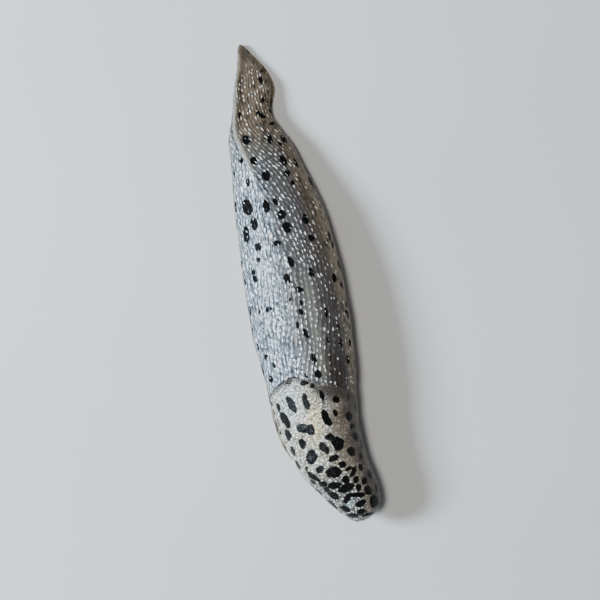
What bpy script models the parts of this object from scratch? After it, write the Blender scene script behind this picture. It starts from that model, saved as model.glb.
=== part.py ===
"""A leopard slug at rest, life size, with its head drawn in under the mantle.

The slug lies along Y with its head towards -Y and its right side towards -X, on a flat sole at z = 0.
Every size below is in millimetres and becomes metres when a mesh is made.
"along" is the distance ahead of the tail tip, so the front of the mantle is at along = LENGTH.
"""

import math

import bmesh
import bpy
import numpy as np
from mathutils import Vector

MM = 0.001
LENGTH = 110.0  # tail tip to the front of the mantle
GAP = 0.3  # kept between pieces that touch
SIDE_SHIFT = 1.44  # centres the whole body on x = 0

# The body's outline and back: along, midline, half width, height of the back, height of the widest level
BODY = [
    (0.0, 0.1, 1.20, 1.7, 0.9),
    (3.0, 0.2, 1.45, 2.4, 1.2),
    (6.0, 0.5, 2.65, 3.1, 1.6),
    (11.0, 0.3, 4.40, 4.3, 2.0),
    (14.5, -0.7, 4.40, 5.2, 2.4),
    (17.0, -1.4, 4.65, 5.9, 2.6),
    (20.0, -1.6, 5.75, 6.8, 2.9),
    (25.0, -1.0, 7.20, 8.3, 3.3),
    (30.0, -0.8, 8.15, 9.6, 3.7),
    (40.0, -0.5, 9.95, 11.7, 4.3),
    (50.0, -0.8, 10.80, 13.0, 4.7),
    (60.0, -1.3, 11.15, 13.8, 4.9),
    (66.0, -1.75, 11.10, 14.2, 5.0),
    (70.0, -1.85, 10.70, 14.3, 5.0),
    (75.0, -2.1, 10.35, 14.4, 5.0),
    (85.0, -2.9, 9.20, 14.3, 5.0),
    (92.0, -2.7, 8.40, 14.0, 5.1),
    (97.0, -1.9, 7.85, 13.7, 5.4),
    (103.0, 0.2, 7.65, 13.2, 6.0),
    (107.0, 1.4, 8.10, 12.9, 6.3),
    (108.6, 1.6, 8.30, 12.8, 6.4),
    (110.0, 1.1, 8.40, 12.7, 6.4),
]
TAIL_ROUND = 4.0  # length over which the tail tip rounds off
FRONT_ROUND = 16.0  # length over which the front of the mantle rounds off

# The keel on the tail leans to the right: along, place between midline (0) and right edge (-1), extra height
KEEL = [
    (0.0, -0.20, 0.10),
    (5.0, -0.65, 0.40),
    (11.0, -0.80, 0.60),
    (17.0, -0.77, 0.65),
    (22.0, -0.59, 0.60),
    (30.0, -0.37, 0.40),
    (40.0, -0.18, 0.12),
    (50.0, -0.06, 0.00),
    (62.0, 0.00, 0.00),
    (110.0, 0.00, 0.00),
]
KEEL_WIDTH = 0.9
ROOF_TAIL = 1.30  # how far the tail's flanks fall like a roof; 1 is an ellipse
ROOF_FADE = (20.0, 45.0)  # along, where that shape gives way to the ellipse

FLANK_DROP = 4.4  # height of the tuck below the widest level, down to the foot
FLANK_TUCK = 2.2  # how far that tuck would turn under, at most half the half width

# The foot: along, right edge, left edge, height of its fringe
FOOT = [
    (0.0, -1.00, 1.20, 0.80),
    (3.0, -1.30, 2.40, 0.90),
    (6.0, -2.05, 4.10, 1.00),
    (11.0, -3.90, 5.40, 1.15),
    (16.5, -5.50, 3.50, 1.30),
    (22.0, -7.00, 4.70, 1.45),
    (30.0, -8.55, 7.00, 1.60),
    (40.0, -10.10, 9.10, 1.65),
    (50.0, -11.30, 9.65, 1.65),
    (60.0, -12.05, 9.55, 1.65),
    (70.0, -12.35, 8.60, 1.65),
    (78.0, -12.65, 7.30, 1.65),
    (86.0, -12.80, 5.90, 1.60),
    (92.0, -11.70, 5.25, 1.55),
    (98.0, -8.70, 5.30, 1.50),
    (103.0, -6.60, 6.20, 1.45),
    (108.0, -5.90, 7.60, 1.40),
]
FOOT_END = 107.6
FOOT_ROUND = 12.5
FOOT_TAIL_RINGS = (0.12, 0.6, 1.4, 2.4)  # along
FOOT_BODY_RINGS = (3.6, FOOT_END - 7.0, 56)  # first, last, count
FOOT_FRONT_RINGS = (5.6, 4.2, 3.0, 2.0, 1.2, 0.6, 0.25, 0.06)  # behind the foot's end
FRINGE_EDGE = 0.55  # radius of the fringe's rounded edge
SOLE_GROOVE = (0.36, 0.8, 0.3)  # place as a share of the half width, width, depth

# The mantle: its rear edge as (place across, from the right edge -1 to the left edge 1; along)
MANTLE_REAR = [
    (-1.35, 81.6),
    (-1.0, 79.2),
    (-0.85, 77.6),
    (-0.60, 76.2),
    (-0.35, 75.5),
    (-0.10, 76.8),
    (0.15, 78.4),
    (0.50, 79.7),
    (0.85, 81.7),
    (1.0, 83.0),
    (1.35, 85.2),
]
MANTLE_SWEEP = 0.6  # how far its rear edge runs on round the body below the widest level
MANTLE_CENTRE = (-3.6, 89.0)  # across, along: the nucleus of its ringed ridges
MANTLE_THICK = 2.0
MANTLE_RIM_THICK = 0.75
MANTLE_TAPER = 5.0  # width of the band in which it thins to the rim
MANTLE_LIP = 0.3  # how far the rear edge stands above the back
MANTLE_GROOVE = 1.7  # width of the crease in the back behind it
MANTLE_RIM_SIDE = 2.7  # height of the rim above the ground at the sides
MANTLE_RIM_FRONT = 5.3  # and in front, over the head
HOOD_WIDTH = 6.5  # half width of that raised front rim
HOOD_FROM = (99.0, 106.5)  # along, where the rim rises to it
RIM_TUCK_END = 104.0  # along, from where the rim tucks in no less than here
RECESS_SPARE = 0.2  # room under the mantle beyond its thickness and the gap
RECESS_RUN = 0.55  # share of the taper in which the back sinks to its full depth
MANTLE_ROUND = 52
MANTLE_RINGS = 15
MANTLE_RIDGE = 0.10  # height of the ringed ridges

# Rows of long tubercles on the back, coarser than the real ones
SECTION_STEP = 1.45
AROUND = 43
TUBERCLE = 0.17  # height of a tubercle; the furrows between the rows go as deep
BEAD_LOW = 0.3  # how high a row still stands between two tubercles
RELIEF_BEHIND = (0.8, 2.5)  # distances behind the mantle between which the rows begin
RELIEF_ABOVE = (1.5, 4.0)  # heights between which they begin on the flanks
RELIEF_FULL_WIDTH = 6.0  # half width of the body from which they stand full height

TORSO_CUTS = [
    ("tail", 1.3, 24.0),
    ("back_rear", 24.0, 48.0),
    ("back_middle", 48.0, 72.0),
    ("back_front", 72.0, 97.0),
]
TAIL_TIP_RING = 0.7  # a ring more, this far ahead of the first
HUMP_CLOSE = (86.0, 16)  # under the mantle the sections stand close up to here, and how many
HUMP_WIDE = (87.5, 7)  # and wide from here on

# The drawn-in head
HEAD_REAR = 97.0
HEAD_FRONT = 107.0
HEAD_ROUND = 6.5
HEAD_HALF_WIDTH = 4.5
HEAD_TOP = 6.9
HEAD_BOTTOM = 1.9
HEAD_WAIST = 0.38  # its widest level, as a share of its height
HEAD_BLUNT = 2.6  # how blunt the face is; 2 is an ellipse
HEAD_RINGS = 12
HEAD_AROUND = 24

# The mouth is an upright slit between two low lips: along and height, then half sizes
LIP_SPREAD = 0.55
LIP_PLACE = (HEAD_FRONT - 0.55, 2.75)
LIP_SIZES = (0.62, 0.62, 0.6)
MOUTH_PLACE = (HEAD_FRONT - 0.1, 2.8)
MOUTH_SIZES = (0.17, 0.6, 0.5)

# Contracted feelers: height and along where they leave the head, half spread, length, root radius, tip radius
UPPER_FEELER = {"height": 4.25, "along": 105.6, "spread": 1.75, "length": 2.3, "root": 1.0, "tip": 0.68}
LOWER_FEELER = {"height": 2.65, "along": 106.1, "spread": 2.4, "length": 1.4, "root": 0.6, "tip": 0.45}
UPPER_AIM = (0.30, -1.0, 0.02)
LOWER_AIM = (0.55, -1.0, -0.10)
FEELER_SUNK = 0.9  # how much further back the root begins, inside the head
EYE_RADIUS = 0.34
EYE_GAP = 0.25
EYE_SET = 0.08  # how far the eye's centre lies behind the feeler's tip

# The breathing pore on the right side of the mantle
PORE_ALONG = 87.5
PORE_HEIGHT = 5.3
PORE_LENGTH = 1.5
PORE_TALL = 1.0
PORE_DEPTH = 0.85
PORE_LIP = 0.32


def curve_through(places, values):
    """A smooth curve through the values at these places, as a function of place."""
    places = np.asarray(places, float)
    values = np.asarray(values, float)
    slopes = np.gradient(values, places)

    def value_at(place):
        place = np.clip(place, places[0], places[-1])
        i = np.clip(np.searchsorted(places, place) - 1, 0, len(places) - 2)
        step = places[i + 1] - places[i]
        t = (place - places[i]) / step
        return (
            (1 + 2 * t) * (1 - t) ** 2 * values[i]
            + t * (1 - t) ** 2 * step * slopes[i]
            + t * t * (3 - 2 * t) * values[i + 1]
            + t * t * (t - 1) * step * slopes[i + 1]
        )

    return value_at


def columns(table):
    """One smooth curve for each column after the first."""
    table = np.array(table, float)
    return [curve_through(table[:, 0], table[:, i]) for i in range(1, table.shape[1])]


midline, half_width_open, back_height_open, widest_level = columns(BODY)
keel_place, keel_height = columns(KEEL)
foot_right, foot_left, fringe_height = columns(FOOT)
mantle_rear = curve_through(*zip(*MANTLE_REAR))


def smooth_step(value, low, high):
    t = min(max((value - low) / (high - low), 0.0), 1.0)
    return t * t * (3 - 2 * t)


def rounding(along):
    """1 along the body, falling to 0 as a quarter ellipse at both ends."""
    tail = min(max(1 - along / TAIL_ROUND, 0.0), 1.0)
    front = min(max(1 - (LENGTH - along) / FRONT_ROUND, 0.0), 1.0)
    return math.sqrt(1 - tail * tail) * math.sqrt(1 - front * front)


def half_width(along):
    return half_width_open(along) * rounding(along)


def back_height(along):
    level = widest_level(along)
    return level + (back_height_open(along) - level) * rounding(along)


def roof(along):
    return ROOF_TAIL + (1 - ROOF_TAIL) * smooth_step(along, *ROOF_FADE)


def height_over(across, along):
    """Height of the skin above a point in plan, or None outside the outline."""
    middle, half = midline(along), half_width(along)
    apex = middle + keel_place(along) * half
    reach = middle + half - apex if across > apex else apex - (middle - half)
    share = abs(across - apex) / max(reach, 1e-6)
    if share > 1:
        return None
    level = widest_level(along)
    rise = (1 - share * share) ** (roof(along) / 2)
    keel = keel_height(along) * math.exp(-(((across - apex) / KEEL_WIDTH) ** 2))
    return level + (back_height(along) - level) * rise + keel


def tuck(drop, half):
    """How far the flank has turned in, this far below the widest level."""
    share = min(drop / FLANK_DROP, 1.0)
    return min(FLANK_TUCK, 0.5 * half) * (1 - math.sqrt(1 - share * share))


def evenly(points, count):
    """The points moved to even distances along their own line."""
    points = np.asarray(points, float)
    steps = np.linalg.norm(np.diff(points, axis=0), axis=1)
    run = np.concatenate([[0], np.cumsum(steps)])
    at = np.linspace(0, run[-1], count)
    return np.stack([np.interp(at, run, points[:, i]) for i in range(points.shape[1])], axis=1)


def arch(along, bottom):
    """The section's outline from the left foot over the back to the right foot, as (across, height)."""
    middle, half, level = midline(along), half_width(along), widest_level(along)
    apex = middle + keel_place(along) * half
    low = [level - (level - bottom) * (1 - i / 8) for i in range(8)]
    left = [(middle + half - tuck(level - z, half), z) for z in low]
    right = [(middle - half + tuck(level - z, half), z) for z in low]
    over = []
    for i in range(61):
        angle = math.pi * i / 60
        reach = (middle + half - apex) if angle < math.pi / 2 else (apex - middle + half)
        across = apex + reach * math.cos(angle)
        over.append((across, height_over(np.clip(across, middle - half, middle + half), along)))
    return evenly(left + over + right[::-1], AROUND)


def place_across(across, along):
    return (across - midline(along)) / max(half_width(along), 1e-6)


def inside_mantle(across, height, along):
    """How far this point of the skin lies ahead of the mantle's rear edge."""
    place = place_across(across, along)
    below = max(widest_level(along) - height, 0.0) / FLANK_DROP
    return along - mantle_rear(place + math.copysign(MANTLE_SWEEP * below, place))


def recess(ahead):
    """How deep the back is sunk to make room for the mantle, this far ahead of its rear edge."""
    full = MANTLE_THICK + GAP + RECESS_SPARE
    edge = MANTLE_RIM_THICK - MANTLE_LIP + GAP
    if ahead < 0:
        return edge * smooth_step(ahead, -MANTLE_GROOVE, -GAP)
    return edge + (full - edge) * smooth_step(ahead, 0.0, MANTLE_TAPER * RECESS_RUN)


def normals_2d(line):
    """Outward normals of a section's outline that runs from left to right over the top."""
    along_line = np.gradient(line, axis=0)
    along_line /= np.linalg.norm(along_line, axis=1)[:, None]
    return np.stack([along_line[:, 1], -along_line[:, 0]], axis=1)


def torso_ring(along, row):
    bottom = fringe_height(along) + GAP
    line = arch(along, bottom)
    out = normals_2d(line)
    ring = []
    for i, ((across, height), (nx, nz)) in enumerate(zip(line, out)):
        ahead = inside_mantle(across, height, along)
        bare = smooth_step(-ahead, *RELIEF_BEHIND) * smooth_step(height, *RELIEF_ABOVE)
        bead = 1 if (row + i // 2) % 2 else BEAD_LOW
        relief = TUBERCLE * bare * (bead if i % 2 else -1)
        shift = relief * min(half_width(along) / RELIEF_FULL_WIDTH, 1) - recess(ahead)
        if 0 < i < len(line) - 1:
            across, height = across + nx * shift, height + nz * shift
        else:
            across -= math.copysign(recess(ahead), nx)
        ring.append((across, along, max(height, bottom)))
    ring.append((midline(along), along, bottom))
    return ring


def to_world(point):
    across, along, height = point
    return Vector(((across + SIDE_SHIFT) * MM, (LENGTH / 2 - along) * MM, height * MM))


def new_object(name, material, bm):
    """The finished mesh as an object, with its faces turned outwards."""
    if bm.calc_volume(signed=True) < 0:
        bmesh.ops.reverse_faces(bm, faces=bm.faces)
    mesh = bpy.data.meshes.new(name)
    bm.to_mesh(mesh)
    bm.free()
    mesh.materials.append(material)
    mesh.shade_smooth()
    mesh.set_sharp_from_angle(angle=math.radians(50))
    obj = bpy.data.objects.new(name, mesh)
    bpy.context.scene.collection.objects.link(obj)
    return obj


def loft(name, material, rings):
    """A closed solid through these rings of points, with flat ends."""
    bm = bmesh.new()
    loops = [[bm.verts.new(to_world(point)) for point in ring] for ring in rings]
    count = len(loops[0])
    for first, second in zip(loops, loops[1:]):
        for i in range(count):
            j = (i + 1) % count
            bm.faces.new((first[i], first[j], second[j], second[i]))
    bm.faces.new(loops[0][::-1])
    bm.faces.new(loops[-1])
    bmesh.ops.triangulate(bm, faces=bm.faces, quad_method="SHORT_EDGE")
    return new_object(name, material, bm)


def principled(name, colour, roughness):
    material = bpy.data.materials.new(name)
    material.use_nodes = True
    shader = material.node_tree.nodes["Principled BSDF"]
    shader.inputs["Base Color"].default_value = (*colour, 1)
    shader.inputs["Roughness"].default_value = roughness
    shader.inputs["Metallic"].default_value = 0
    return material


def make_torso(material):
    """The back in four lengths, from the tail to the hump that carries the mantle."""
    for name, start, end in TORSO_CUTS:
        first = start + (GAP / 2 if name != "tail" else 0)
        last = end - GAP / 2
        count = max(2, round((last - first) / SECTION_STEP)) + 1
        places = list(np.linspace(first, last, count))
        if name == "back_front":
            close = np.linspace(first, *HUMP_CLOSE)
            wide = np.linspace(HUMP_WIDE[0], last, HUMP_WIDE[1])
            places = list(np.concatenate([close, wide]))
        if name == "tail":
            places[1:1] = [first + TAIL_TIP_RING]
        offset = round(start / SECTION_STEP)
        rings = [torso_ring(along, offset + i) for i, along in enumerate(places)]
        loft(name, material, rings)


def foot_rounding(along):
    tail = min(max(1 - along / TAIL_ROUND, 0.0), 1.0)
    front = min(max(1 - (FOOT_END - along) / FOOT_ROUND, 0.0), 1.0)
    return math.sqrt(1 - tail * tail) * math.sqrt(1 - front * front)


def foot_ring(along):
    middle = (foot_right(along) + foot_left(along)) / 2
    half = (foot_left(along) - foot_right(along)) / 2 * foot_rounding(along)
    top = fringe_height(along)
    edge = min(FRINGE_EDGE, half * 0.4, top * 0.45)
    place, width, depth = SOLE_GROOVE
    depth *= smooth_step(half, 1.5, 5.0)
    width = min(width, place * half)
    groove = [(place * half - width / 2, 0), (place * half, depth), (place * half + width / 2, 0)]
    side = groove + [
        (half - edge, 0),
        (half - edge * 0.3, edge * 0.3),
        (half, edge),
        (half - edge * 0.15, top - edge * 0.7),
        (half - edge * 0.9, top),
    ]
    left = [(middle + x, along, z) for x, z in side]
    right = [(middle - x, along, z) for x, z in reversed(side)]
    return left + right


def make_foot(material):
    body = list(np.linspace(*FOOT_BODY_RINGS))
    front = [FOOT_END - behind for behind in FOOT_FRONT_RINGS]
    loft("foot", material, [foot_ring(along) for along in [*FOOT_TAIL_RINGS, *body, *front]])


def outline_normal(along, side):
    """Outward normal in plan of the body's outline, on the left (1) or the right (-1)."""
    step = 0.02
    ahead, behind = min(along + step, LENGTH - 1e-3), along - step
    run = (midline(ahead) + side * half_width(ahead)) - (midline(behind) + side * half_width(behind))
    normal = np.array([(ahead - behind), -run]) * side
    return normal / np.linalg.norm(normal)


def rim_height(across, along):
    """The rim hangs low at the sides and is raised over the head."""
    front = smooth_step(along, *HOOD_FROM)
    side = math.exp(-(((across - midline(LENGTH)) / HOOD_WIDTH) ** 4))
    return MANTLE_RIM_SIDE + (MANTLE_RIM_FRONT - MANTLE_RIM_SIDE) * front * side


def mantle_meridian(angle):
    """A line over the skin from the mantle's centre to its rim, as (across, along, height)."""
    heading = np.array([math.cos(angle), math.sin(angle)])
    centre = np.array(MANTLE_CENTRE)

    def within(distance):
        across, along = centre + heading * distance
        return 0 < along < LENGTH and abs(place_across(across, along)) < 1

    low, high = 0.0, 40.0
    for _ in range(40):
        middle = (low + high) / 2
        low, high = (middle, high) if within(middle) else (low, middle)
    reach = low
    line = []
    for i in range(81):
        across, along = centre + heading * reach * math.sin(math.pi / 2 * i / 80)
        line.append((across, along, height_over(across, along)))
    across, along, _ = line[-1]
    side = 1 if across > midline(along) else -1
    outward = outline_normal(along, side)
    level = widest_level(along)
    rim = rim_height(across, along)
    for i in range(1, 13):
        height = level - (level - rim) * i / 12
        inward = tuck(level - height, half_width(min(along, RIM_TUCK_END)))
        line.append((across - outward[0] * inward, along - outward[1] * inward, height))
    kept = [line[0]]
    for point in line[1:]:
        ahead = inside_mantle(point[0], point[2], point[1])
        if ahead < 0:
            before = inside_mantle(kept[-1][0], kept[-1][2], kept[-1][1])
            share = before / (before - ahead)
            kept.append(tuple(np.array(kept[-1]) * (1 - share) + np.array(point) * share))
            break
        kept.append(point)
    return np.array(kept)


def mantle_grid():
    """Meridians at even distances round the rim, each with even steps from the centre outwards."""
    angles = np.linspace(0, 2 * math.pi, 241)
    rims = np.array([mantle_meridian(a)[-1] for a in angles])
    run = np.concatenate([[0], np.cumsum(np.linalg.norm(np.diff(rims, axis=0), axis=1))])
    chosen = np.interp(np.linspace(0, run[-1], MANTLE_ROUND + 1)[:-1], run, angles)
    return np.array([evenly(mantle_meridian(a), MANTLE_RINGS + 1) for a in chosen])


def surface_normals(grid):
    round_it = np.roll(grid, -1, axis=0) - np.roll(grid, 1, axis=0)
    outwards = np.gradient(grid, axis=1)
    normal = np.cross(round_it, outwards)
    normal[:, 0] = (0, 0, 1)
    normal /= np.linalg.norm(normal, axis=2)[:, :, None]
    upward = np.sign((normal[:, 1:4, 2]).sum())
    normal[:, 1:] *= upward
    return normal


def make_mantle(material):
    """The shield over the front third, as a shell that thins to a free rim."""
    grid = mantle_grid()
    normal = surface_normals(grid)
    steps = np.linalg.norm(np.diff(grid, axis=1), axis=2)
    to_rim = np.cumsum(steps[:, ::-1], axis=1)[:, ::-1]
    to_rim = np.concatenate([to_rim, np.zeros((len(grid), 1))], axis=1)
    ahead = np.vectorize(inside_mantle)(grid[:, :, 0], grid[:, :, 2], grid[:, :, 1])
    lip = MANTLE_LIP * np.vectorize(smooth_step)(-ahead, -3.5, 0.0)
    share = np.vectorize(smooth_step)(np.minimum(to_rim, ahead), 0.0, MANTLE_TAPER)
    thick = MANTLE_RIM_THICK + (MANTLE_THICK - MANTLE_RIM_THICK) * share
    ridge = MANTLE_RIDGE * np.where(np.arange(MANTLE_RINGS + 1) % 2, -1, 1) * (share > 0)
    ridge[:, 0] = 0
    outer = grid + normal * (lip + ridge)[:, :, None]
    inner = grid + normal * (lip - thick)[:, :, None]
    bm = bmesh.new()
    layers = []
    for surface in (outer, inner):
        top = bm.verts.new(to_world(surface[0, 0]))
        rows = [[bm.verts.new(to_world(point)) for point in line[1:]] for line in surface]
        layers.append((top, rows))
    for top, rows in layers:
        for i, row in enumerate(rows):
            after = rows[(i + 1) % len(rows)]
            fan = (top, row[0], after[0])
            bm.faces.new(fan if rows is layers[0][1] else fan[::-1])
            for j in range(len(row) - 1):
                quad = (row[j], row[j + 1], after[j + 1], after[j])
                bm.faces.new(quad if rows is layers[0][1] else quad[::-1])
    (_, outer_rows), (_, inner_rows) = layers
    for i, row in enumerate(outer_rows):
        j = (i + 1) % len(outer_rows)
        bm.faces.new((row[-1], inner_rows[i][-1], inner_rows[j][-1], outer_rows[j][-1]))
    bmesh.ops.triangulate(bm, faces=bm.faces, quad_method="SHORT_EDGE")
    mantle = new_object("mantle", material, bm)
    cut_pore(mantle)
    return mantle


def hidden(obj):
    obj.hide_render = True
    obj.display_type = "WIRE"
    return obj


def add_boolean(obj, other, operation):
    modifier = obj.modifiers.new(operation.lower(), "BOOLEAN")
    modifier.operation = operation
    modifier.solver = "EXACT"
    modifier.object = other


def ellipsoid(name, material, centre, sizes, segments=14, rings=9):
    bm = bmesh.new()
    bmesh.ops.create_uvsphere(bm, u_segments=segments, v_segments=rings, radius=1)
    bmesh.ops.scale(bm, vec=Vector(sizes) * MM, verts=bm.verts)
    bmesh.ops.translate(bm, vec=to_world(centre), verts=bm.verts)
    return new_object(name, material, bm)


def cut_pore(mantle):
    """The breathing pore: a raised lip on the mantle's right side with a blind hole in it."""
    material = mantle.data.materials[0]
    across = midline(PORE_ALONG) - half_width(PORE_ALONG)
    centre = (across + 0.05, PORE_ALONG, PORE_HEIGHT)
    lip_sizes = (PORE_LIP + 0.1, PORE_LENGTH / 2 + PORE_LIP, PORE_TALL / 2 + PORE_LIP)
    hole_sizes = (PORE_DEPTH, PORE_LENGTH / 2, PORE_TALL / 2)
    lip = hidden(ellipsoid("pore_lip_shape", material, centre, lip_sizes, 16, 8))
    hole = hidden(ellipsoid("pore_hole_shape", material, centre, hole_sizes, 12, 8))
    add_boolean(mantle, lip, "UNION")
    add_boolean(mantle, hole, "DIFFERENCE")


def head_ring(along, grow):
    """A section of the drawn-in head: flat below, round above, closing to a blunt face."""
    reach = HEAD_FRONT + grow
    front = min(max(1 - (reach - along) / (HEAD_ROUND + grow), 0.0), 1.0)
    close = math.sqrt(1 - front**HEAD_BLUNT)
    middle = midline(along)
    half = (HEAD_HALF_WIDTH + grow) * close
    base = HEAD_BOTTOM - grow
    waist = base + HEAD_WAIST * (HEAD_TOP - HEAD_BOTTOM)
    top = waist + (HEAD_TOP + grow - waist) * close
    bottom = waist - (waist - base) * (0.35 + 0.65 * close)
    ring = []
    for i in range(HEAD_AROUND):
        angle = 2 * math.pi * i / HEAD_AROUND
        x, z = math.cos(angle), math.sin(angle)
        lift = (top - waist) * z if z > 0 else (waist - bottom) * max(1.25 * z, -1)
        ring.append((middle + half * x, along, waist + lift))
    return ring


def head_shape(name, material, grow=0.0):
    first = HEAD_REAR + GAP / 2 - grow
    last = HEAD_FRONT + grow
    t = np.linspace(0, 1, HEAD_RINGS)
    places = first + (last - first) * np.sin(t * math.pi / 2) ** 0.9
    places[-1] = last - 0.012
    return loft(name, material, [head_ring(along, grow) for along in places])


def knob(name, material, root, aim, length, root_radius, tip_radius, rings=7, around=12):
    """A short, blunt feeler that tapers from its root to a rounded tip."""
    aim = Vector(aim).normalized()
    turn = aim.to_track_quat("Z", "Y").to_matrix()
    bm = bmesh.new()
    loops = []
    sides = [(0.0, root_radius), (length * 0.45, (root_radius + tip_radius) / 2)]
    straight = length - tip_radius
    for i in range(rings - 2):
        bend = math.pi / 2 * i / (rings - 2)
        sides.append((straight + tip_radius * math.sin(bend), tip_radius * math.cos(bend)))
    base = to_world(root)
    for up, radius in sides:
        loop = []
        for i in range(around):
            angle = 2 * math.pi * i / around
            offset = turn @ Vector((radius * math.cos(angle), radius * math.sin(angle), up))
            loop.append(bm.verts.new(base + offset * MM))
        loops.append(loop)
    for first, second in zip(loops, loops[1:]):
        for i in range(around):
            j = (i + 1) % around
            bm.faces.new((first[i], first[j], second[j], second[i]))
    bm.faces.new(loops[0][::-1])
    bm.faces.new(loops[-1])
    obj = new_object(name, material, bm)
    tip = base + turn @ Vector((0, 0, length)) * MM
    return obj, tip


def ball(name, material, centre, radius):
    bm = bmesh.new()
    bmesh.ops.create_uvsphere(bm, u_segments=12, v_segments=8, radius=radius * MM)
    bmesh.ops.translate(bm, vec=centre, verts=bm.verts)
    return new_object(name, material, bm)


def make_head(flesh, feeler_flesh, eye_black):
    head = head_shape("head", flesh)
    socket = hidden(head_shape("head_with_gap", flesh, GAP))
    middle = midline(HEAD_FRONT)
    for side, word in ((-1, "right"), (1, "left")):
        lip = hidden(
            ellipsoid(f"lip_shape_{word}", flesh, (middle + side * LIP_SPREAD, *LIP_PLACE), LIP_SIZES)
        )
        add_boolean(head, lip, "UNION")
        for kind, sizes, aim in (("upper", UPPER_FEELER, UPPER_AIM), ("lower", LOWER_FEELER, LOWER_AIM)):
            root = (middle + side * sizes["spread"], sizes["along"] - FEELER_SUNK, sizes["height"])
            feeler, tip = knob(
                f"feeler_{kind}_{word}",
                feeler_flesh,
                root,
                (aim[0] * side, aim[1], aim[2]),
                sizes["length"] + FEELER_SUNK,
                sizes["root"],
                sizes["tip"],
            )
            add_boolean(feeler, socket, "DIFFERENCE")
            if kind == "upper":
                centre = tip - Vector((aim[0] * side, aim[1], aim[2])).normalized() * EYE_SET * MM
                ball(f"eye_{word}", eye_black, centre, EYE_RADIUS)
                room = hidden(ball(f"eye_room_{word}", eye_black, centre, EYE_RADIUS + EYE_GAP))
                add_boolean(feeler, room, "DIFFERENCE")
    slit = hidden(ellipsoid("mouth_slit_shape", flesh, (middle, *MOUTH_PLACE), MOUTH_SIZES, 12, 8))
    add_boolean(head, slit, "DIFFERENCE")


def main():
    for obj in list(bpy.data.objects):
        bpy.data.objects.remove(obj)
    back_skin = principled("back_skin", (0.17, 0.15, 0.13), 0.35)
    mantle_skin = principled("mantle_skin", (0.48, 0.43, 0.35), 0.33)
    foot_skin = principled("foot_skin", (0.42, 0.40, 0.36), 0.4)
    head_skin = principled("head_skin", (0.33, 0.29, 0.26), 0.38)
    feeler_skin = principled("feeler_skin", (0.30, 0.18, 0.14), 0.38)
    eye_black = principled("eye_black", (0.01, 0.01, 0.01), 0.15)
    make_torso(back_skin)
    make_foot(foot_skin)
    make_mantle(mantle_skin)
    make_head(head_skin, feeler_skin, eye_black)


main()
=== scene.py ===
import math

import bpy
import numpy as np
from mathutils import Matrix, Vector


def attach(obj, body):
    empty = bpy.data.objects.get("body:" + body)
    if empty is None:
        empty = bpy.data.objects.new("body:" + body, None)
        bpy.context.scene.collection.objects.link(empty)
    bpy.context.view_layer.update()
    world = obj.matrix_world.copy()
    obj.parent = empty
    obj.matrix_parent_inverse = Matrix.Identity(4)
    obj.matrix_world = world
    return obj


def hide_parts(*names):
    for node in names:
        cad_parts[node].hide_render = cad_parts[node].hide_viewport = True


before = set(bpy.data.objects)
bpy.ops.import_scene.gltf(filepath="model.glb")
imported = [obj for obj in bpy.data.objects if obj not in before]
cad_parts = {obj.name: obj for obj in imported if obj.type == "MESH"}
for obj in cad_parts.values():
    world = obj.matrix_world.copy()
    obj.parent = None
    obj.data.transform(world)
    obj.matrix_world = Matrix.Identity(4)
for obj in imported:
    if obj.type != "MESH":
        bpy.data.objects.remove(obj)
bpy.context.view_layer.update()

print("loaded", len(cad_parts), "solids")

# Lengths are in millimetres, and mm turns them to metres when a mesh is made.
# "along" runs from the tail tip, 0, to the front of the mantle, 110. "across" is positive on the slug's left.
mm = 0.001

bodyShape = {
    "length": 110.0,
    "sideShift": 1.44,  # centres the bent body on x = 0
    "tailRound": 4.0,
    "tailInset": 0.13,
    "frontRound": 16.0,
    # along, midline, half width, height of the back, height of the widest level
    "stations": [
        (0.0, 0.1, 1.20, 1.7, 0.9),
        (3.0, 0.2, 1.45, 2.4, 1.2),
        (6.0, 0.5, 2.65, 3.1, 1.6),
        (11.0, 0.3, 4.40, 4.3, 2.0),
        (14.5, -0.7, 4.40, 5.2, 2.4),
        (17.0, -1.4, 4.65, 5.9, 2.6),
        (20.0, -1.6, 5.75, 6.8, 2.9),
        (25.0, -1.0, 7.20, 8.3, 3.3),
        (30.0, -0.8, 8.15, 9.6, 3.7),
        (40.0, -0.5, 9.95, 11.7, 4.3),
        (50.0, -0.8, 10.80, 13.0, 4.7),
        (60.0, -1.3, 11.15, 13.8, 4.9),
        (66.0, -1.75, 11.10, 14.2, 5.0),
        (70.0, -1.85, 10.70, 14.3, 5.0),
        (75.0, -2.1, 10.35, 14.4, 5.0),
        (85.0, -2.9, 9.20, 14.3, 5.0),
        (92.0, -2.7, 8.40, 14.0, 5.1),
        (97.0, -1.9, 7.85, 13.7, 5.4),
        (103.0, 0.2, 7.65, 13.2, 6.0),
        (107.0, 1.4, 8.10, 12.9, 6.3),
        (108.6, 1.6, 8.30, 12.8, 6.4),
        (110.0, 1.1, 8.40, 12.7, 6.4),
    ],
    # along, place between the midline, 0, and the right edge, -1, extra height
    "keel": [
        (0.0, -0.20, 0.10),
        (5.0, -0.65, 0.40),
        (11.0, -0.80, 0.60),
        (17.0, -0.77, 0.65),
        (22.0, -0.59, 0.60),
        (30.0, -0.37, 0.40),
        (40.0, -0.18, 0.12),
        (50.0, -0.06, 0.00),
        (62.0, 0.00, 0.00),
        (110.0, 0.00, 0.00),
    ],
    "keelWidth": 0.85,
    "tailRoof": 1.30,
    "roofFade": (20.0, 45.0),
    "flankDrop": 4.4,
    "flankTuck": 2.2,
    "undulation": 0.10,
}

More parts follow.
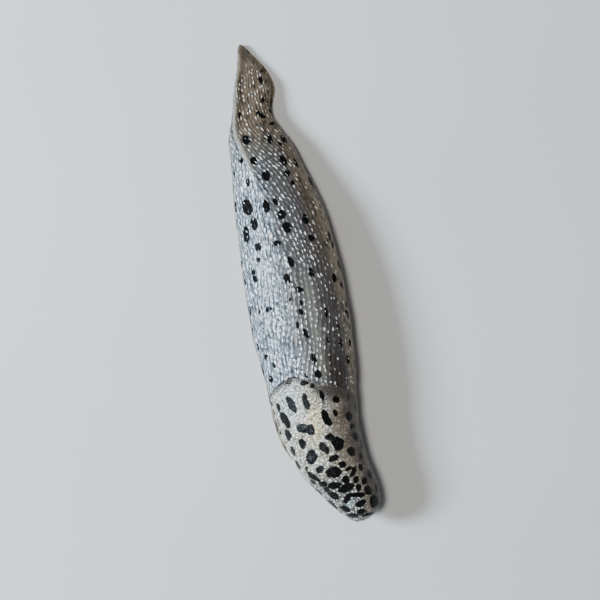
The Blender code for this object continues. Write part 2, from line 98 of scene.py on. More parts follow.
footShape = {
    # along, right edge, left edge, height where it meets the flank
    "stations": [
        (0.0, -1.00, 1.20, 0.80),
        (3.0, -1.30, 2.40, 0.90),
        (6.0, -2.05, 4.10, 1.00),
        (11.0, -3.90, 5.40, 1.15),
        (16.5, -5.50, 3.50, 1.30),
        (22.0, -7.00, 4.70, 1.45),
        (30.0, -8.55, 7.00, 1.60),
        (40.0, -10.10, 9.10, 1.65),
        (50.0, -11.30, 9.65, 1.65),
        (60.0, -12.05, 9.55, 1.65),
        (70.0, -12.35, 8.60, 1.65),
        (78.0, -12.65, 7.30, 1.65),
        (86.0, -12.80, 5.90, 1.60),
        (92.0, -11.70, 5.25, 1.55),
        (98.0, -8.70, 5.30, 1.50),
        (103.0, -6.60, 6.20, 1.45),
        (108.0, -5.90, 7.60, 1.40),
    ],
    "end": 107.6,
    "frontRound": 12.5,
    "brink": 0.62,  # height of the thin margin, as a share of the height at the flank
    "pleat": 0.80,  # spacing of the upright grooves in the margin
    "pleatDepth": 0.05,
    "furrowPlace": 0.36,  # the two long furrows of the sole, as a share of its half width
    "furrowDepth": 0.26,
}

mantleShape = {
    # place across, along: the rear edge
    "rear": [
        (-1.35, 81.6),
        (-1.0, 79.2),
        (-0.85, 77.6),
        (-0.60, 76.2),
        (-0.35, 75.5),
        (-0.10, 76.8),
        (0.15, 78.4),
        (0.50, 79.7),
        (0.85, 81.7),
        (1.0, 83.0),
        (1.35, 85.2),
    ],
    "nucleus": (-3.6, 89.0),  # centre of the fingerprint ridges, over the hidden shell
    "thick": 2.0,
    "rimThick": 0.5,
    "taper": 5.0,
    "lip": 0.20,
    "softFrom": (-0.15, 0.30),  # places across between which the free edge turns from a lip to a soft step
    "groove": 0.7,
    "rimSide": 2.7,
    "rimFront": 5.3,
    "hoodFrom": (99.0, 106.5),
    "hoodWidth": 6.5,
    "cornerRound": 2.6,
    "lastTuck": 104.0,  # along; ahead of it the side tucks in as much as there
    "undulation": 0.16,
    "ridgePitch": 0.45,
    "porePlace": (87.5, 5.3),
    "poreSize": (1.5, 1.0),
}

headShape = {
    "neck": (95.5, 100.0),
    "front": 107.0,
    "round": 6.5,
    "halfWidth": 4.5,
    "top": 6.9,
    "straightFrom": 108.0,  # along, from where the head's middle no longer follows the midline
    "mouthHeight": 2.75,
}


def smoothStep(value, low, high):
    t = np.clip((value - low) / (high - low), 0, 1)
    return t * t * (3 - 2 * t)


def curveThrough(places, values):
    places, values = np.asarray(places, float), np.asarray(values, float)
    slopes = np.gradient(values, places)

    def valueAt(place):
        place = np.clip(place, places[0], places[-1])
        i = np.clip(np.searchsorted(places, place) - 1, 0, len(places) - 2)
        step = places[i + 1] - places[i]
        t = (place - places[i]) / step
        rise = (1 + 2 * t) * (1 - t) ** 2 * values[i] + t * t * (3 - 2 * t) * values[i + 1]
        return rise + step * (t * (1 - t) ** 2 * slopes[i] + t * t * (t - 1) * slopes[i + 1])

    return valueAt


def columnsOf(table):
    table = np.array(table, float)
    return [curveThrough(table[:, 0], table[:, i]) for i in range(1, table.shape[1])]


midline, openHalfWidth, openBackHeight, widestLevel = columnsOf(bodyShape["stations"])
keelPlace, keelHeight = columnsOf(bodyShape["keel"])
footRight, footLeft, fringeTop = columnsOf(footShape["stations"])
mantleRear = curveThrough(*zip(*mantleShape["rear"]))


def endRounding(along, front, frontRound):
    tail = np.clip(1 - along / bodyShape["tailRound"], 0, 1)
    nose = np.clip(1 - (front - along) / frontRound, 0, 1)
    return np.sqrt(1 - tail * tail) * np.sqrt(1 - nose * nose)


def backRounding(along):
    return endRounding(along, bodyShape["length"], bodyShape["frontRound"])


def halfWidth(along):
    return openHalfWidth(along) * backRounding(along)


def heightOver(across, along):
    # the skin's height above a point in plan
    middle, half, level = midline(along), halfWidth(along), widestLevel(along)
    apex = middle + keelPlace(along) * half
    reach = np.where(across > apex, middle + half - apex, apex - middle + half)
    share = np.clip(np.abs(across - apex) / np.maximum(reach, 1e-6), 0, 1)
    roof = bodyShape["tailRoof"] + (1 - bodyShape["tailRoof"]) * smoothStep(along, *bodyShape["roofFade"])
    top = (openBackHeight(along) - level) * backRounding(along)
    keel = keelHeight(along) * np.exp(-(((across - apex) / bodyShape["keelWidth"]) ** 2))
    return level + top * (1 - share * share) ** (roof / 2) + keel


def tuckIn(drop, half):
    share = np.clip(drop / bodyShape["flankDrop"], 0, 1)
    return np.minimum(bodyShape["flankTuck"], 0.5 * half) * (1 - np.sqrt(1 - share * share))


def evenly(points, count):
    run = np.concatenate([[0], np.cumsum(np.linalg.norm(np.diff(points, axis=0), axis=1))])
    at = np.linspace(0, run[-1], count)
    return np.stack([np.interp(at, run, points[:, i]) for i in range(points.shape[1])], axis=1)


def placeAcross(across, along):
    return (across - midline(along)) / np.maximum(halfWidth(along), 1e-6)


def aheadOfEdge(across, height, along):
    # how far a point lies in front of the mantle's rear edge
    place = placeAcross(across, along)
    below = np.maximum(widestLevel(along) - height, 0) / bodyShape["flankDrop"]
    return along - mantleRear(place + np.copysign(0.6 * below, place))


def softEdge(place):
    # 0 where the mantle's rear edge is a free lip, 1 where it runs softly into the back
    return smoothStep(place, *mantleShape["softFrom"]) * smoothStep(place, 1.0, 0.8)


def recessDepth(ahead, place):
    full = mantleShape["thick"] + 0.08
    edge = (mantleShape["rimThick"] - mantleShape["lip"] + 0.04) * (1 - 0.65 * softEdge(place))
    behind = edge * smoothStep(ahead, -mantleShape["groove"], -0.1)
    under = edge + (full - edge) * smoothStep(ahead, 0, mantleShape["taper"] * 0.8)
    return np.where(ahead < 0, behind, under)


# points round a section: over the back, along each ledge down to the foot, round each margin, under the sole
skinColumns = {"back": 156, "ledge": 6, "margin": 9, "sole": 34}
skinRings = {"tail": 16, "back": 330, "covered": 27, "face": 45, "brim": 11}
ringsUpTo = {"tail": 4.0, "back": 84.0, "covered": 99.0}


def backLine(along):
    middle, half, level = float(midline(along)), float(halfWidth(along)), float(widestLevel(along))
    apex = middle + float(keelPlace(along)) * half
    bottom = float(fringeTop(along)) + 0.08
    low = np.linspace(bottom, level, 24, endpoint=False)
    tuck = tuckIn(level - low, half)
    angle = np.linspace(0, math.pi, 241)
    reach = np.where(angle < math.pi / 2, middle + half - apex, apex - middle + half)
    over = apex + reach * np.cos(angle)
    left = np.stack([middle + half - tuck, low], axis=1)
    right = np.stack([middle - half + tuck, low], axis=1)[::-1]
    line = np.concatenate([left, np.stack([over, heightOver(over, along)], axis=1), right])
    line = evenly(line, skinColumns["back"] * 2)
    ahead = aheadOfEdge(line[:, 0], line[:, 1], along)
    run = np.gradient(line, axis=0)
    run /= np.maximum(np.linalg.norm(run, axis=1), 1e-9)[:, None]
    depth = recessDepth(ahead, placeAcross(line[:, 0], along))
    line = line - np.stack([run[:, 1], -run[:, 0]], axis=1) * depth[:, None]
    line[:, 1] = np.maximum(line[:, 1], bottom)
    return evenly(line, skinColumns["back"])


def headLine(along):
    # the arch of the drawn-in head, standing on the foot
    front = np.clip(1 - (headShape["front"] - along) / headShape["round"], 0, 1)
    close = math.sqrt(1 - front**2.6)
    bottom = float(fringeTop(along)) + 0.08
    middle = float(midline(min(along, headShape["straightFrom"])))
    half = headShape["halfWidth"] * close
    rise = (headShape["top"] - bottom) * close
    angle = np.linspace(0, math.pi, 121)
    across = middle + half * np.cos(angle) * (1 - 0.08 * (1 - np.sin(angle)) ** 2)
    line = np.stack([across, bottom + rise * np.sin(angle) ** 0.8], axis=1)
    return evenly(line, skinColumns["back"])


def bodySection(along):
    # one closed ring of the skin, from the left flank over the back and round under the sole
    blend = float(smoothStep(along, *headShape["neck"]))
    top = backLine(along) * (1 - blend)
    if blend:
        top = top + headLine(along) * blend
    centre = float(footRight(along) + footLeft(along)) / 2
    rounding = float(endRounding(along, footShape["end"], footShape["frontRound"]))
    half = float(footLeft(along) - footRight(along)) / 2 * rounding
    height = float(fringeTop(along)) * footShape["brink"]
    edge = min(0.75, half * 0.45)
    turn = np.linspace(0.5, -0.5, skinColumns["margin"]) * math.pi
    curl = np.stack([half - edge + edge * np.cos(turn), height / 2 + height / 2 * np.sin(turn)], axis=1)
    under = np.linspace(1, -1, skinColumns["sole"] + 2)[1:-1] * (half - edge)
    depth = footShape["furrowDepth"] * smoothStep(half, 1.5, 5)
    place = footShape["furrowPlace"] * half
    furrows = sum(np.exp(-(((under - side * place) / 0.3) ** 2)) for side in (1, -1)) * depth
    rightCurl = np.stack([centre - curl[:, 0], curl[:, 1]], axis=1)
    leftCurl = np.stack([centre + curl[::-1, 0], curl[::-1, 1]], axis=1)
    sole = np.stack([centre - under, furrows], axis=1)
    step = np.linspace(0, 1, skinColumns["ledge"] + 2)[1:-1, None]
    dip = np.stack([np.zeros(len(step)), -0.10 * np.sin(step[:, 0] * math.pi)], axis=1)
    dip = dip * smoothStep(half, 0.5, 3)
    rightLedge = top[-1] * (1 - step) + rightCurl[0] * step + dip
    leftLedge = leftCurl[-1] * (1 - step) + top[0] * step + dip
    return np.concatenate([top, rightLedge, rightCurl, sole, leftCurl, leftLedge])


def ringPlaces():
    # where the skin's rings stand along the body, close together at the tail tip and over the face
    tailEnd, backEnd, coveredEnd = ringsUpTo.values()
    tail = tailEnd * (1 - np.cos(np.linspace(0, math.pi / 2, skinRings["tail"] + 1)))[:-1]
    back = np.linspace(tailEnd, backEnd, skinRings["back"], endpoint=False)
    covered = np.linspace(backEnd, coveredEnd, skinRings["covered"], endpoint=False)
    quarter = np.linspace(0, math.pi / 2, skinRings["face"] + 1)
    face = headShape["front"] - (headShape["front"] - coveredEnd) * (1 - np.sin(quarter))
    brim = np.linspace(headShape["front"], footShape["end"], skinRings["brim"] + 1)[1:]
    places = np.concatenate([tail, back, covered, face, brim])
    places[0], places[-1] = 0.004, footShape["end"] - 0.002
    return places


def roundedPrimitive(name, around, rings):
    # a sphere, with the ring and the segment of each of its vertices
    bpy.ops.object.select_all(action="DESELECT")
    bpy.ops.mesh.primitive_uv_sphere_add(segments=around, ring_count=rings, radius=1)
    piece = bpy.context.object
    piece.name = piece.data.name = name
    flat = np.zeros(len(piece.data.vertices) * 3)
    piece.data.vertices.foreach_get("co", flat)
    place = flat.reshape(-1, 3)
    ring = np.rint((np.arcsin(np.clip(place[:, 2], -1, 1)) / math.pi + 0.5) * rings).astype(int)
    segment = np.rint(np.arctan2(place[:, 1], place[:, 0]) / (2 * math.pi) * around).astype(int) % around
    return piece, ring, segment


def gridNormals(grid):
    around = np.roll(grid, -1, axis=1) - np.roll(grid, 1, axis=1)
    normal = np.cross(around, np.gradient(grid, axis=0))
    normal[0], normal[-1] = normal[1].mean(axis=0), normal[-2].mean(axis=0)
    normal = normal / np.maximum(np.linalg.norm(normal, axis=2), 1e-12)[:, :, None]
    outwards = np.sign((normal * (grid - grid.mean(axis=(0, 1)))).sum())
    return normal * outwards


def layOver(name, grid, masks):
    # lays a sphere's rings and segments over a grid of points, and keeps one number of each mask at a vertex
    rings, around = grid.shape[0] - 1, grid.shape[1]
    piece, ring, segment = roundedPrimitive(name, around, rings)
    grid = grid.copy()
    grid[0], grid[-1] = grid[0].mean(axis=0), grid[-1].mean(axis=0)
    x, y, z = np.moveaxis(grid[ring, segment], -1, 0)
    points = np.stack([x + bodyShape["sideShift"], bodyShape["length"] / 2 - y, z], axis=1) * mm
    piece.data.vertices.foreach_set("co", points.ravel())
    for mask, values in masks.items():
        layer = piece.data.attributes.new(mask, "FLOAT", "POINT")
        layer.data.foreach_set("value", values[ring, segment].astype(np.float32))
    piece.data.update()
    bpy.ops.object.mode_set(mode="EDIT")
    bpy.ops.mesh.select_all(action="SELECT")
    bpy.ops.mesh.normals_make_consistent(inside=False)
    bpy.ops.object.mode_set(mode="OBJECT")
    piece.data.shade_smooth()
    print(name, len(piece.data.vertices), "vertices")
    return piece


def smoothNoise(points, seed):
    # seeded noise from -1 to 1 in cells of one unit, over two or three coordinates
    table = np.random.default_rng(seed).random(4096) * 2 - 1
    cell = np.floor(points).astype(int)
    part = points - cell
    part = part * part * (3 - 2 * part)
    total = 0
    for corner in np.ndindex(*(2,) * points.shape[-1]):
        key = np.zeros(cell.shape[:-1], int)
        weight = 1.0
        for axis, step in enumerate(corner):
            key = key * 57 + (cell[..., axis] + step) * (131, 7919, 104729)[axis]
            weight = weight * (part[..., axis] if step else 1 - part[..., axis])
        total = total + weight * table[key % 4096]
    return total


tubercles = {
    "width": 1.05,  # across the body, at its widest
    "length": 1.25,
    "height": 0.11,
    "fullArc": 19.0,  # half the girth where they are full size
    # along, and how far round the body a row has moved away from the keel by there
    "drift": [(0, 0.0), (10, 2.0), (20, 6.5), (30, 11.0), (40, 13.0), (50, 14.2), (60, 14.8), (110, 14.8)],
    # along, and how far all the rows have swung to the slug's right by there
    "swerve": [(0, 0.0), (52, 0.0), (62, 0.9), (70, 2.3), (84, 5.2), (110, 5.2)],
    "onFace": 0.45,
    "wrinkle": 0.06,
}


def hashed(a, b, shift):
    return np.modf(np.abs(np.sin(a * 127.1 + b * 311.7 + shift * 74.7) * 43758.5453))[0]


def tubercleRelief(arc, along, scale):
    # long cells in staggered rows that fan out from the keel: their height, and what is known at each point
    arc = arc - np.interp(along, *zip(*tubercles["swerve"]))
    drift = np.interp(along, *zip(*tubercles["drift"]))
    otherSide = np.where(arc < 0, 61, 0)
    u = (np.abs(arc) / scale - drift) / tubercles["width"]
    v = along / scale**0.6 / tubercles["length"]
    u = u + 0.55 * smoothNoise(np.stack([u / 3.9, v / 4.6], axis=-1), 7)
    v = v + 0.25 * smoothNoise(np.stack([u / 2.3, v / 3.3], axis=-1), 19)
    nearest, second = np.full(u.shape, 9.0), np.full(u.shape, 9.0)
    number, side, length = np.zeros(u.shape), np.zeros(u.shape), np.zeros(u.shape)
    for rowStep in (-1, 0, 1):
        row = np.floor(u) + rowStep
        key = row + otherSide
        shift = 0.5 * (row % 2) + 0.30 * hashed(key, key, 5)
        for cellStep in (-1, 0, 1):
            cell = np.floor(v + shift) + cellStep
            across = u - row - 0.5 - (hashed(key, cell, 1) - 0.5) * 0.22
            down = v + shift - cell - 0.5 - (hashed(key, cell, 2) - 0.5) * 0.5
            far = np.sqrt(across * across + down * down)
            closer = far < nearest
            second = np.where(closer, nearest, np.minimum(second, far))
            number = np.where(closer, hashed(key, cell, 3), number)
            side = np.where(closer, across, side)
            length = np.where(closer, down, length)
            nearest = np.where(closer, far, nearest)
    between = smoothStep(0.5 - np.abs(side), 0.0, 0.24)
    ends = 0.55 + 0.45 * smoothStep(second - nearest, 0.0, 0.30)
    dome = np.clip(1 - (side * 2.2) ** 2 - (length * 1.5) ** 2, 0, 1)
    height = between * ends * (0.45 + 0.55 * dome) * (0.7 + 0.3 * number)
    # the painted glint on each tubercle, a pale dash, is a little off its middle, and thin or thick, short or
    # long by chance
    thin = 0.75 + 0.95 * np.modf(number * 5.1)[0]
    short = 0.50 + 0.95 * np.modf(number * 11.3)[0]
    cells = {
        "number": number,  # one random number for each tubercle
        "side": (side + 0.24 * (np.modf(number * 7.3)[0] - 0.5)) * thin,  # place across it and along it
        "length": (length + 0.30 * (np.modf(number * 13.7)[0] - 0.5)) * short,
        "core": smoothStep(second - nearest, 0.22, 0.48),  # 0 near its edge
        "acrossRows": u,
        "alongRows": v,
    }
    return height, cells


photoView = {
    "pixels": 600,
    "cameraHeight": 300.0,
    "over": (0.92, -4.22),  # the point of the floor under the camera
    "turn": -13.84,
    "lens": 79.7,
    "sensor": 36.0,
}


def toPhoto(points):
    # where points of the model fall in the picture, in pixels
    x = points[..., 0] + bodyShape["sideShift"] - photoView["over"][0]
    y = bodyShape["length"] / 2 - points[..., 1] - photoView["over"][1]
    turn = math.radians(photoView["turn"])
    right = x * math.cos(turn) + y * math.sin(turn)
    up = y * math.cos(turn) - x * math.sin(turn)
    perHeight = photoView["lens"] / photoView["sensor"] * photoView["pixels"]
    scale = perHeight / (photoView["cameraHeight"] - points[..., 2])
    return photoView["pixels"] / 2 + right * scale, photoView["pixels"] / 2 - up * scale


pixelSize = photoView["cameraHeight"] * photoView["sensor"] / photoView["lens"] / photoView["pixels"]

# Each spot as the picture shows it: pixel across, pixel down, width and length in pixels, and how many
# degrees its long side leans from upright, towards the lower right
mantleSpots = [
    (305, 382.5, 4, 9, 100), (313, 386.4, 4, 5, 60), (333.6, 385.5, 3, 8, 80), (288, 383, 2, 7, -45),
    (306, 401.5, 6, 17, 15), (321.8, 395, 4, 10, 15), (336.4, 400, 5, 7, 0), (348.6, 396, 2, 8, 0),
    (291.4, 404.3, 7, 16, 28), (278.6, 407.9, 4, 9, 22), (285, 420, 6, 16, 30), (303.5, 428.5, 8, 15, 78),
    (310.5, 429.5, 7, 10, 20), (326.4, 418, 7, 15, 25), (335.7, 413, 4, 6, 0), (349.3, 416.4, 6.5, 7.5, 20),
    (355, 408, 3, 9, 5), (352, 427, 4.5, 5, 0), (355.7, 436.4, 5.5, 8, 5), (288, 435, 6, 11, 20),
    (302, 443.6, 6, 9, 25), (323.6, 448.6, 6, 12.5, 35), (329.3, 437.4, 6.5, 9, 60),
    (337.6, 443.6, 10.5, 12.5, 20), (351.4, 451.4, 7.5, 9, 20), (292.9, 450.7, 5, 9, 25),
    (311.4, 457, 9.5, 13.5, 0), (332.9, 458.6, 6, 10, 117), (342.9, 464.3, 6, 7, 90), (361.4, 444.3, 3, 9, 8),
    (361, 456, 3, 6, 5), (298, 465, 4.5, 9, 30), (320, 470, 7, 7, 0), (333.6, 472.5, 9, 13, 95),
    (348.6, 469.3, 2.6, 8, 120), (353.6, 471.4, 4, 10, 150), (361, 467, 4, 5, 0), (312.9, 476, 4.8, 15, 57),
    (306.4, 468.6, 3, 4, 0), (304.3, 479.3, 3, 4.5, 40), (312.9, 482, 3.2, 6.5, 65),
    (322.9, 484.3, 4.5, 7.5, 75), (345.7, 480, 6, 6.5, 0), (356.4, 479.3, 5, 6, 0), (365, 481.4, 4, 6, 0),
    (369.6, 474, 4, 8, 8), (334.3, 485.7, 5.5, 11.5, 105), (327, 490, 4, 6.5, 75),
    (312.9, 487, 3.2, 6.5, 62), (345.7, 488.4, 6, 14.5, 118), (358.9, 487, 5, 5.5, 0),
    (368.3, 491, 6.5, 7, 0), (319.7, 493, 4.2, 10, 38), (333.6, 496, 5.5, 9, 60),
    (347.6, 498.4, 5, 10.5, 140), (357, 494.8, 4.6, 13, 92), (360.7, 503.4, 5.2, 8.5, 110),
    (373.6, 501.4, 7.5, 9.5, 8), (331.4, 504.3, 5, 11.5, 54), (345, 508.6, 5, 9, 65),
    (339.3, 512.9, 3.2, 6, 60), (361.4, 511.4, 4.5, 8, 105), (352, 515.7, 4.2, 10, 95),
    (368.6, 514.3, 2.8, 12, 100), (376.5, 488, 2.6, 8, 2), (372.9, 466, 3, 8, 5),
]
backSpots = [
    (246, 140, 7, 9, 20), (240, 115, 3, 6, 5), (259, 113, 5, 5, 0), (263, 115.5, 4, 6, 40),
    (272, 123, 3, 6, 100), (270, 139, 5, 9, 20), (284, 139, 4, 8, 35), (280, 144, 4, 4, 0),
    (283, 160, 6, 10, 30), (296, 163, 3, 10, 28), (254, 161, 7, 8, 30), (241, 160, 4, 6, 10),
    (263, 100, 3, 5, 0), (261, 81, 3, 8, 10), (262, 72, 2, 5, 20), (287, 174, 6, 6, 0),
    (228, 141, 2.5, 5, 0), (228, 152, 2.5, 5, 0), (266, 176, 8, 9, 10), (248, 183, 4, 8, 5),
    (293, 183, 4, 5, 0), (247, 207, 9.5, 15, 10), (266, 206, 7, 12, 15), (275, 202, 5, 7, 20),
    (281, 215, 8, 9, 20), (287, 227, 9, 10, 35), (254, 224, 7, 12, 10), (246, 235, 6.5, 16, 5),
    (258, 247, 6, 8, 10), (277, 243.5, 7, 5, 0), (305, 219, 5, 11, 20), (311, 238, 5, 8, 20),
    (259, 260, 4, 5, 0), (291, 262, 6, 10, 25), (242, 264, 3.5, 7, 5), (253, 271, 4, 7, 10),
    (255, 279, 4, 7, 10), (311, 272, 5, 8, 20), (287, 279, 6, 9, 15), (299, 290, 5, 8, 80),
    (334, 278, 3.4, 8, 10), (341, 285, 2, 6, 8), (327, 212, 2, 6, 12), (329, 235, 2, 7, 12),
    (333, 245, 2, 6, 12), (338, 327, 3, 6, 8), (341, 343, 3.4, 7, 8), (350, 343, 3, 6, 4),
    (348, 360, 3, 8, 4), (301, 312, 4, 8, 20), (297, 325, 3, 6, 10), (306, 334, 4, 10, 25),
    (326, 313, 3.5, 10, 12), (328, 340, 3, 5, 10), (314, 358, 5.5, 9, 12), (318, 374, 6, 7.5, 25),
    (266, 357, 4, 5, 0), (271, 379, 5, 6, 10), (268, 309, 3, 5, 0), (259, 312, 2.5, 4, 0),
    (271, 308, 2, 4, 0), (290, 300, 3, 4, 0), (301, 303, 3, 5, 20), (274, 366, 3, 5, 0),
    (306, 376, 3, 5, 40),
]
faintSpots = [
    (305, 197, 4, 8, 20), (310, 205, 4, 7, 20), (317, 197, 3, 7, 15), (316, 212, 3, 8, 15),
    (253, 62, 2.5, 4, 20), (247, 68, 2, 4, 0), (257, 69, 2, 4, 10), (252, 86, 3, 4, 0),
    (242, 84, 3, 5, 0), (268, 92, 3, 5, 10), (248, 57, 2, 3, 30), (241, 93, 3, 4, 0),
    (260, 92, 3, 4, 30), (247, 98, 2, 3, 0), (281, 150, 4, 5, 40), (301, 252, 4, 6, 10),
    (322, 300, 3, 7, 10), (330, 356, 4, 8, 5), (336, 300, 3, 8, 8), (344, 330, 3, 9, 5),
]
growingRows = (435, 490)  # pixels down, between which a spot goes over from its first factor to its second


# Patches of other colours on the mantle, and one of painted sheen: pixel across, pixel down, half width and
# half height in pixels
mantlePatches = {
    "warm": (314, 422, 10, 22),
    "lilac": (327, 398, 8, 13),
    "paintedSkySheen": (288, 404, 12, 26),
    "pearl": (350, 503, 5, 5),
    "smear": (337, 423, 8, 10),
}


def ragged(points, amount):
    # two offsets that make the outline of a spot uneven
    return [
        amount * (smoothNoise(points / 1.15 + shift, 7) + 0.3 * smoothNoise(points / 0.45 + shift, 19))
        for shift in (3.1, 17.7)
    ]


def spotField(grid, spots, reachable, growth, unevenness):
    # how far, in mm, a point lies inside the nearest spot that the picture shows, below 0 outside
    across, down = toPhoto(grid)
    field = np.full(grid.shape[:2], -9.0)
    offsets = ragged(grid, unevenness / pixelSize)
    for u, v, width, length, lean in spots:
        miss = (across - u) ** 2 + (down - v) ** 2 + np.where(reachable, 0, 1e6)
        centre = grid[np.unravel_index(np.argmin(miss), miss.shape)]
        right, lower = across - u + offsets[0], down - v + offsets[1]
        angle = math.radians(lean)
        grow = growth[0] + (growth[1] - growth[0]) * float(smoothStep(v, *growingRows))
        lengthwise = (right * math.sin(angle) + lower * math.cos(angle)) / (length * grow / 2)
        sideways = (right * math.cos(angle) - lower * math.sin(angle)) / (width * grow / 2)
        deeper = (grid[:, :, 2] - centre[2]) / (1.25 * pixelSize * math.sqrt(width * length))
        radius = np.sqrt(lengthwise**2 + sideways**2 + deeper**2)
        field = np.maximum(field, (1 - radius) * width * pixelSize / 2)
    return np.where(grid[:, :, 2] > 0.4, field, -9.0)


def addSpots(grid, normal, field, allowed, settings):
    # seeded spots on the sides that the picture doesn't show
    draw = np.random.default_rng(settings["seed"])
    rows, columns = np.nonzero(allowed)
    offsets = ragged(grid + 2.2, 0.16)
    placed = 0
    for _ in range(settings["count"] * 12):
        if placed >= settings["count"]:
            break
        pick = draw.integers(len(rows))
        row, column = rows[pick], columns[pick]
        half = settings["size"] * draw.uniform(0.55, 1.4) / 2
        if field[row, column] > -settings["apart"] - half * 0.5:
            continue
        facing = normal[row, column]
        straight = np.array([0, 1.0, 0]) - facing * facing[1]
        straight /= np.linalg.norm(straight)
        level = np.cross(facing, straight)
        lean = draw.normal(0, 0.35)
        along = straight * math.cos(lean) + level * math.sin(lean)
        side = level * math.cos(lean) - straight * math.sin(lean)
        away = grid - grid[row, column]
        lengthwise = (away @ along + offsets[0]) / (half * settings["longer"] * draw.uniform(0.7, 1.3))
        sideways = (away @ side + offsets[1]) / half
        radius = np.sqrt(lengthwise**2 + sideways**2 + ((away @ facing) / 1.6) ** 2)
        field = np.maximum(field, (1 - radius) * half)
        placed += 1
    return field


hiddenBackSpots = {"seed": 41, "count": 70, "size": 1.15, "longer": 1.7, "apart": 0.9}
hiddenMantleSpots = {"seed": 23, "count": 90, "size": 1.2, "longer": 1.35, "apart": 0.45}


def roundTheBody(places, sections):
    # distance round each section from the keel line, share of the way up from the foot, and half the girth
    around, top = sections.shape[1], skinColumns["back"]
    steps = np.linalg.norm(np.diff(sections[:, :top], axis=1), axis=2)
    run = np.concatenate([np.zeros((len(places), 1)), np.cumsum(steps, axis=1)], axis=1)
    apex = (midline(places) + keelPlace(places) * halfWidth(places))[:, None]
    apexColumn = np.argmin(np.abs(sections[:, :top, 0] - apex), axis=1)
    apexRun = run[np.arange(len(places)), apexColumn][:, None]
    halfArc = np.maximum(run[:, -1:] / 2, 0.05)
    below = np.zeros((len(places), around - top))
    arc = np.concatenate([run, below + run[:, -1:]], axis=1) - apexRun
    fromFoot = np.concatenate([np.minimum(run, run[:, -1:] - run), below], axis=1) / halfArc
    return arc, fromFoot, halfArc


def pleatedMargin(grid, alongGrid):
    # the upright grooves round the foot, and which columns lie on its margin and on its sole
    ledge, margin = skinColumns["ledge"], skinColumns["margin"]
    rest = np.arange(grid.shape[1]) - skinColumns["back"]
    last = len(rest) - skinColumns["back"] - ledge
    inMargin = (rest >= ledge) & (rest < last)
    onSole = (rest >= ledge + margin) & (rest < last - margin)
    bend = 2.2 * smoothNoise(np.stack([alongGrid / 4, grid[:, :, 0] / 30], axis=-1), 7)
    pleat = 0.5 + 0.5 * np.sin(alongGrid / footShape["pleat"] * 2 * math.pi + bend)
    pleat = pleat * (rest >= 0) * (1 - onSole) * smoothStep(alongGrid, 1, 5)
    return pleat, inMargin, onSole


def makeBodySkin():
    places = ringPlaces()
    sections = np.array([bodySection(along) for along in places])
    around = sections.shape[1]
    inset = bodyShape["tailInset"] * np.clip(1 - places / bodyShape["tailRound"], 0, 1) ** 2
    alongGrid = np.repeat((places + inset)[:, None], around, axis=1)
    grid = np.stack([sections[:, :, 0], alongGrid, sections[:, :, 1]], axis=2)
    normal = gridNormals(grid)
    onBack = (np.arange(around) < skinColumns["back"])[None, :]
    arc, fromFoot, halfArc = roundTheBody(places, sections)
    ahead = aheadOfEdge(grid[:, :, 0], grid[:, :, 2], alongGrid)

    # relief
    onHead = smoothStep(alongGrid, 98, 101) * onBack
    bare = smoothStep(-ahead, 0.1, 1.2)
    scale = np.maximum(halfArc / tubercles["fullArc"], 0.12) ** 0.35
    crest, cells = tubercleRelief(arc, alongGrid, scale)
    onKeel = np.exp(-(((arc - 0.1) / 1.15) ** 2)) * smoothStep(keelHeight(places), 0.2, 0.5)[:, None] * onBack
    crease = np.exp(-(((arc - 1.5) / 0.4) ** 2)) * smoothStep(alongGrid, 9, 14)
    crease = crease * smoothStep(alongGrid, 30, 22) * onBack
    faceShare = tubercles["onFace"] * onHead * smoothStep(alongGrid, 106.5, 104)
    swell = np.maximum(bare * smoothStep(alongGrid, 0.5, 12) * (1 - 0.5 * onKeel), faceShare) * onBack
    swell = swell * smoothStep(fromFoot, 0.0, 0.06) * (0.45 + 0.55 * smoothStep(fromFoot, 0.06, 0.35))
    swell = swell * (0.55 + 0.45 * smoothStep(alongGrid, 14, 34))
    wrinkle = smoothNoise(grid / 0.75, 7) + 0.6 * smoothNoise(grid / 0.36, 19) - 0.5
    waves = (smoothNoise(grid / 5.5, 3) - 0.6) * bare * smoothStep(alongGrid, 2, 20) * onBack
    rise = swell * tubercles["height"] * (crest - 0.8) - 0.16 * crease
    rise = rise + bodyShape["undulation"] * waves + tubercles["wrinkle"] * wrinkle * onHead
    pleat, inMargin, onSole = pleatedMargin(grid, alongGrid)
    rise = rise -footShape["pleatDepth"] * pleat * inMargin * smoothStep(grid[:, :, 2], 0.1, 0.5)
    grid = grid + normal * rise[:, :, None]
    grid = shapeFace(grid, onBack)
    grid[:, :, 2] = np.maximum(grid[:, :, 2], 0)
    return layOver("slugSkin", grid, {
        **bodyMarks(grid, normal, onBack, alongGrid, arc, fromFoot, ahead),
        "crest": crest * swell,
        **cells,
        "core": cells["core"] * smoothStep(swell, 0.1, 0.3),
        "keel": onKeel * smoothStep(alongGrid, 5, 16),
        "crease": crease,
        "pleat": pleat,
        "sole": onSole + 0 * alongGrid,
        "head": onHead,
    })


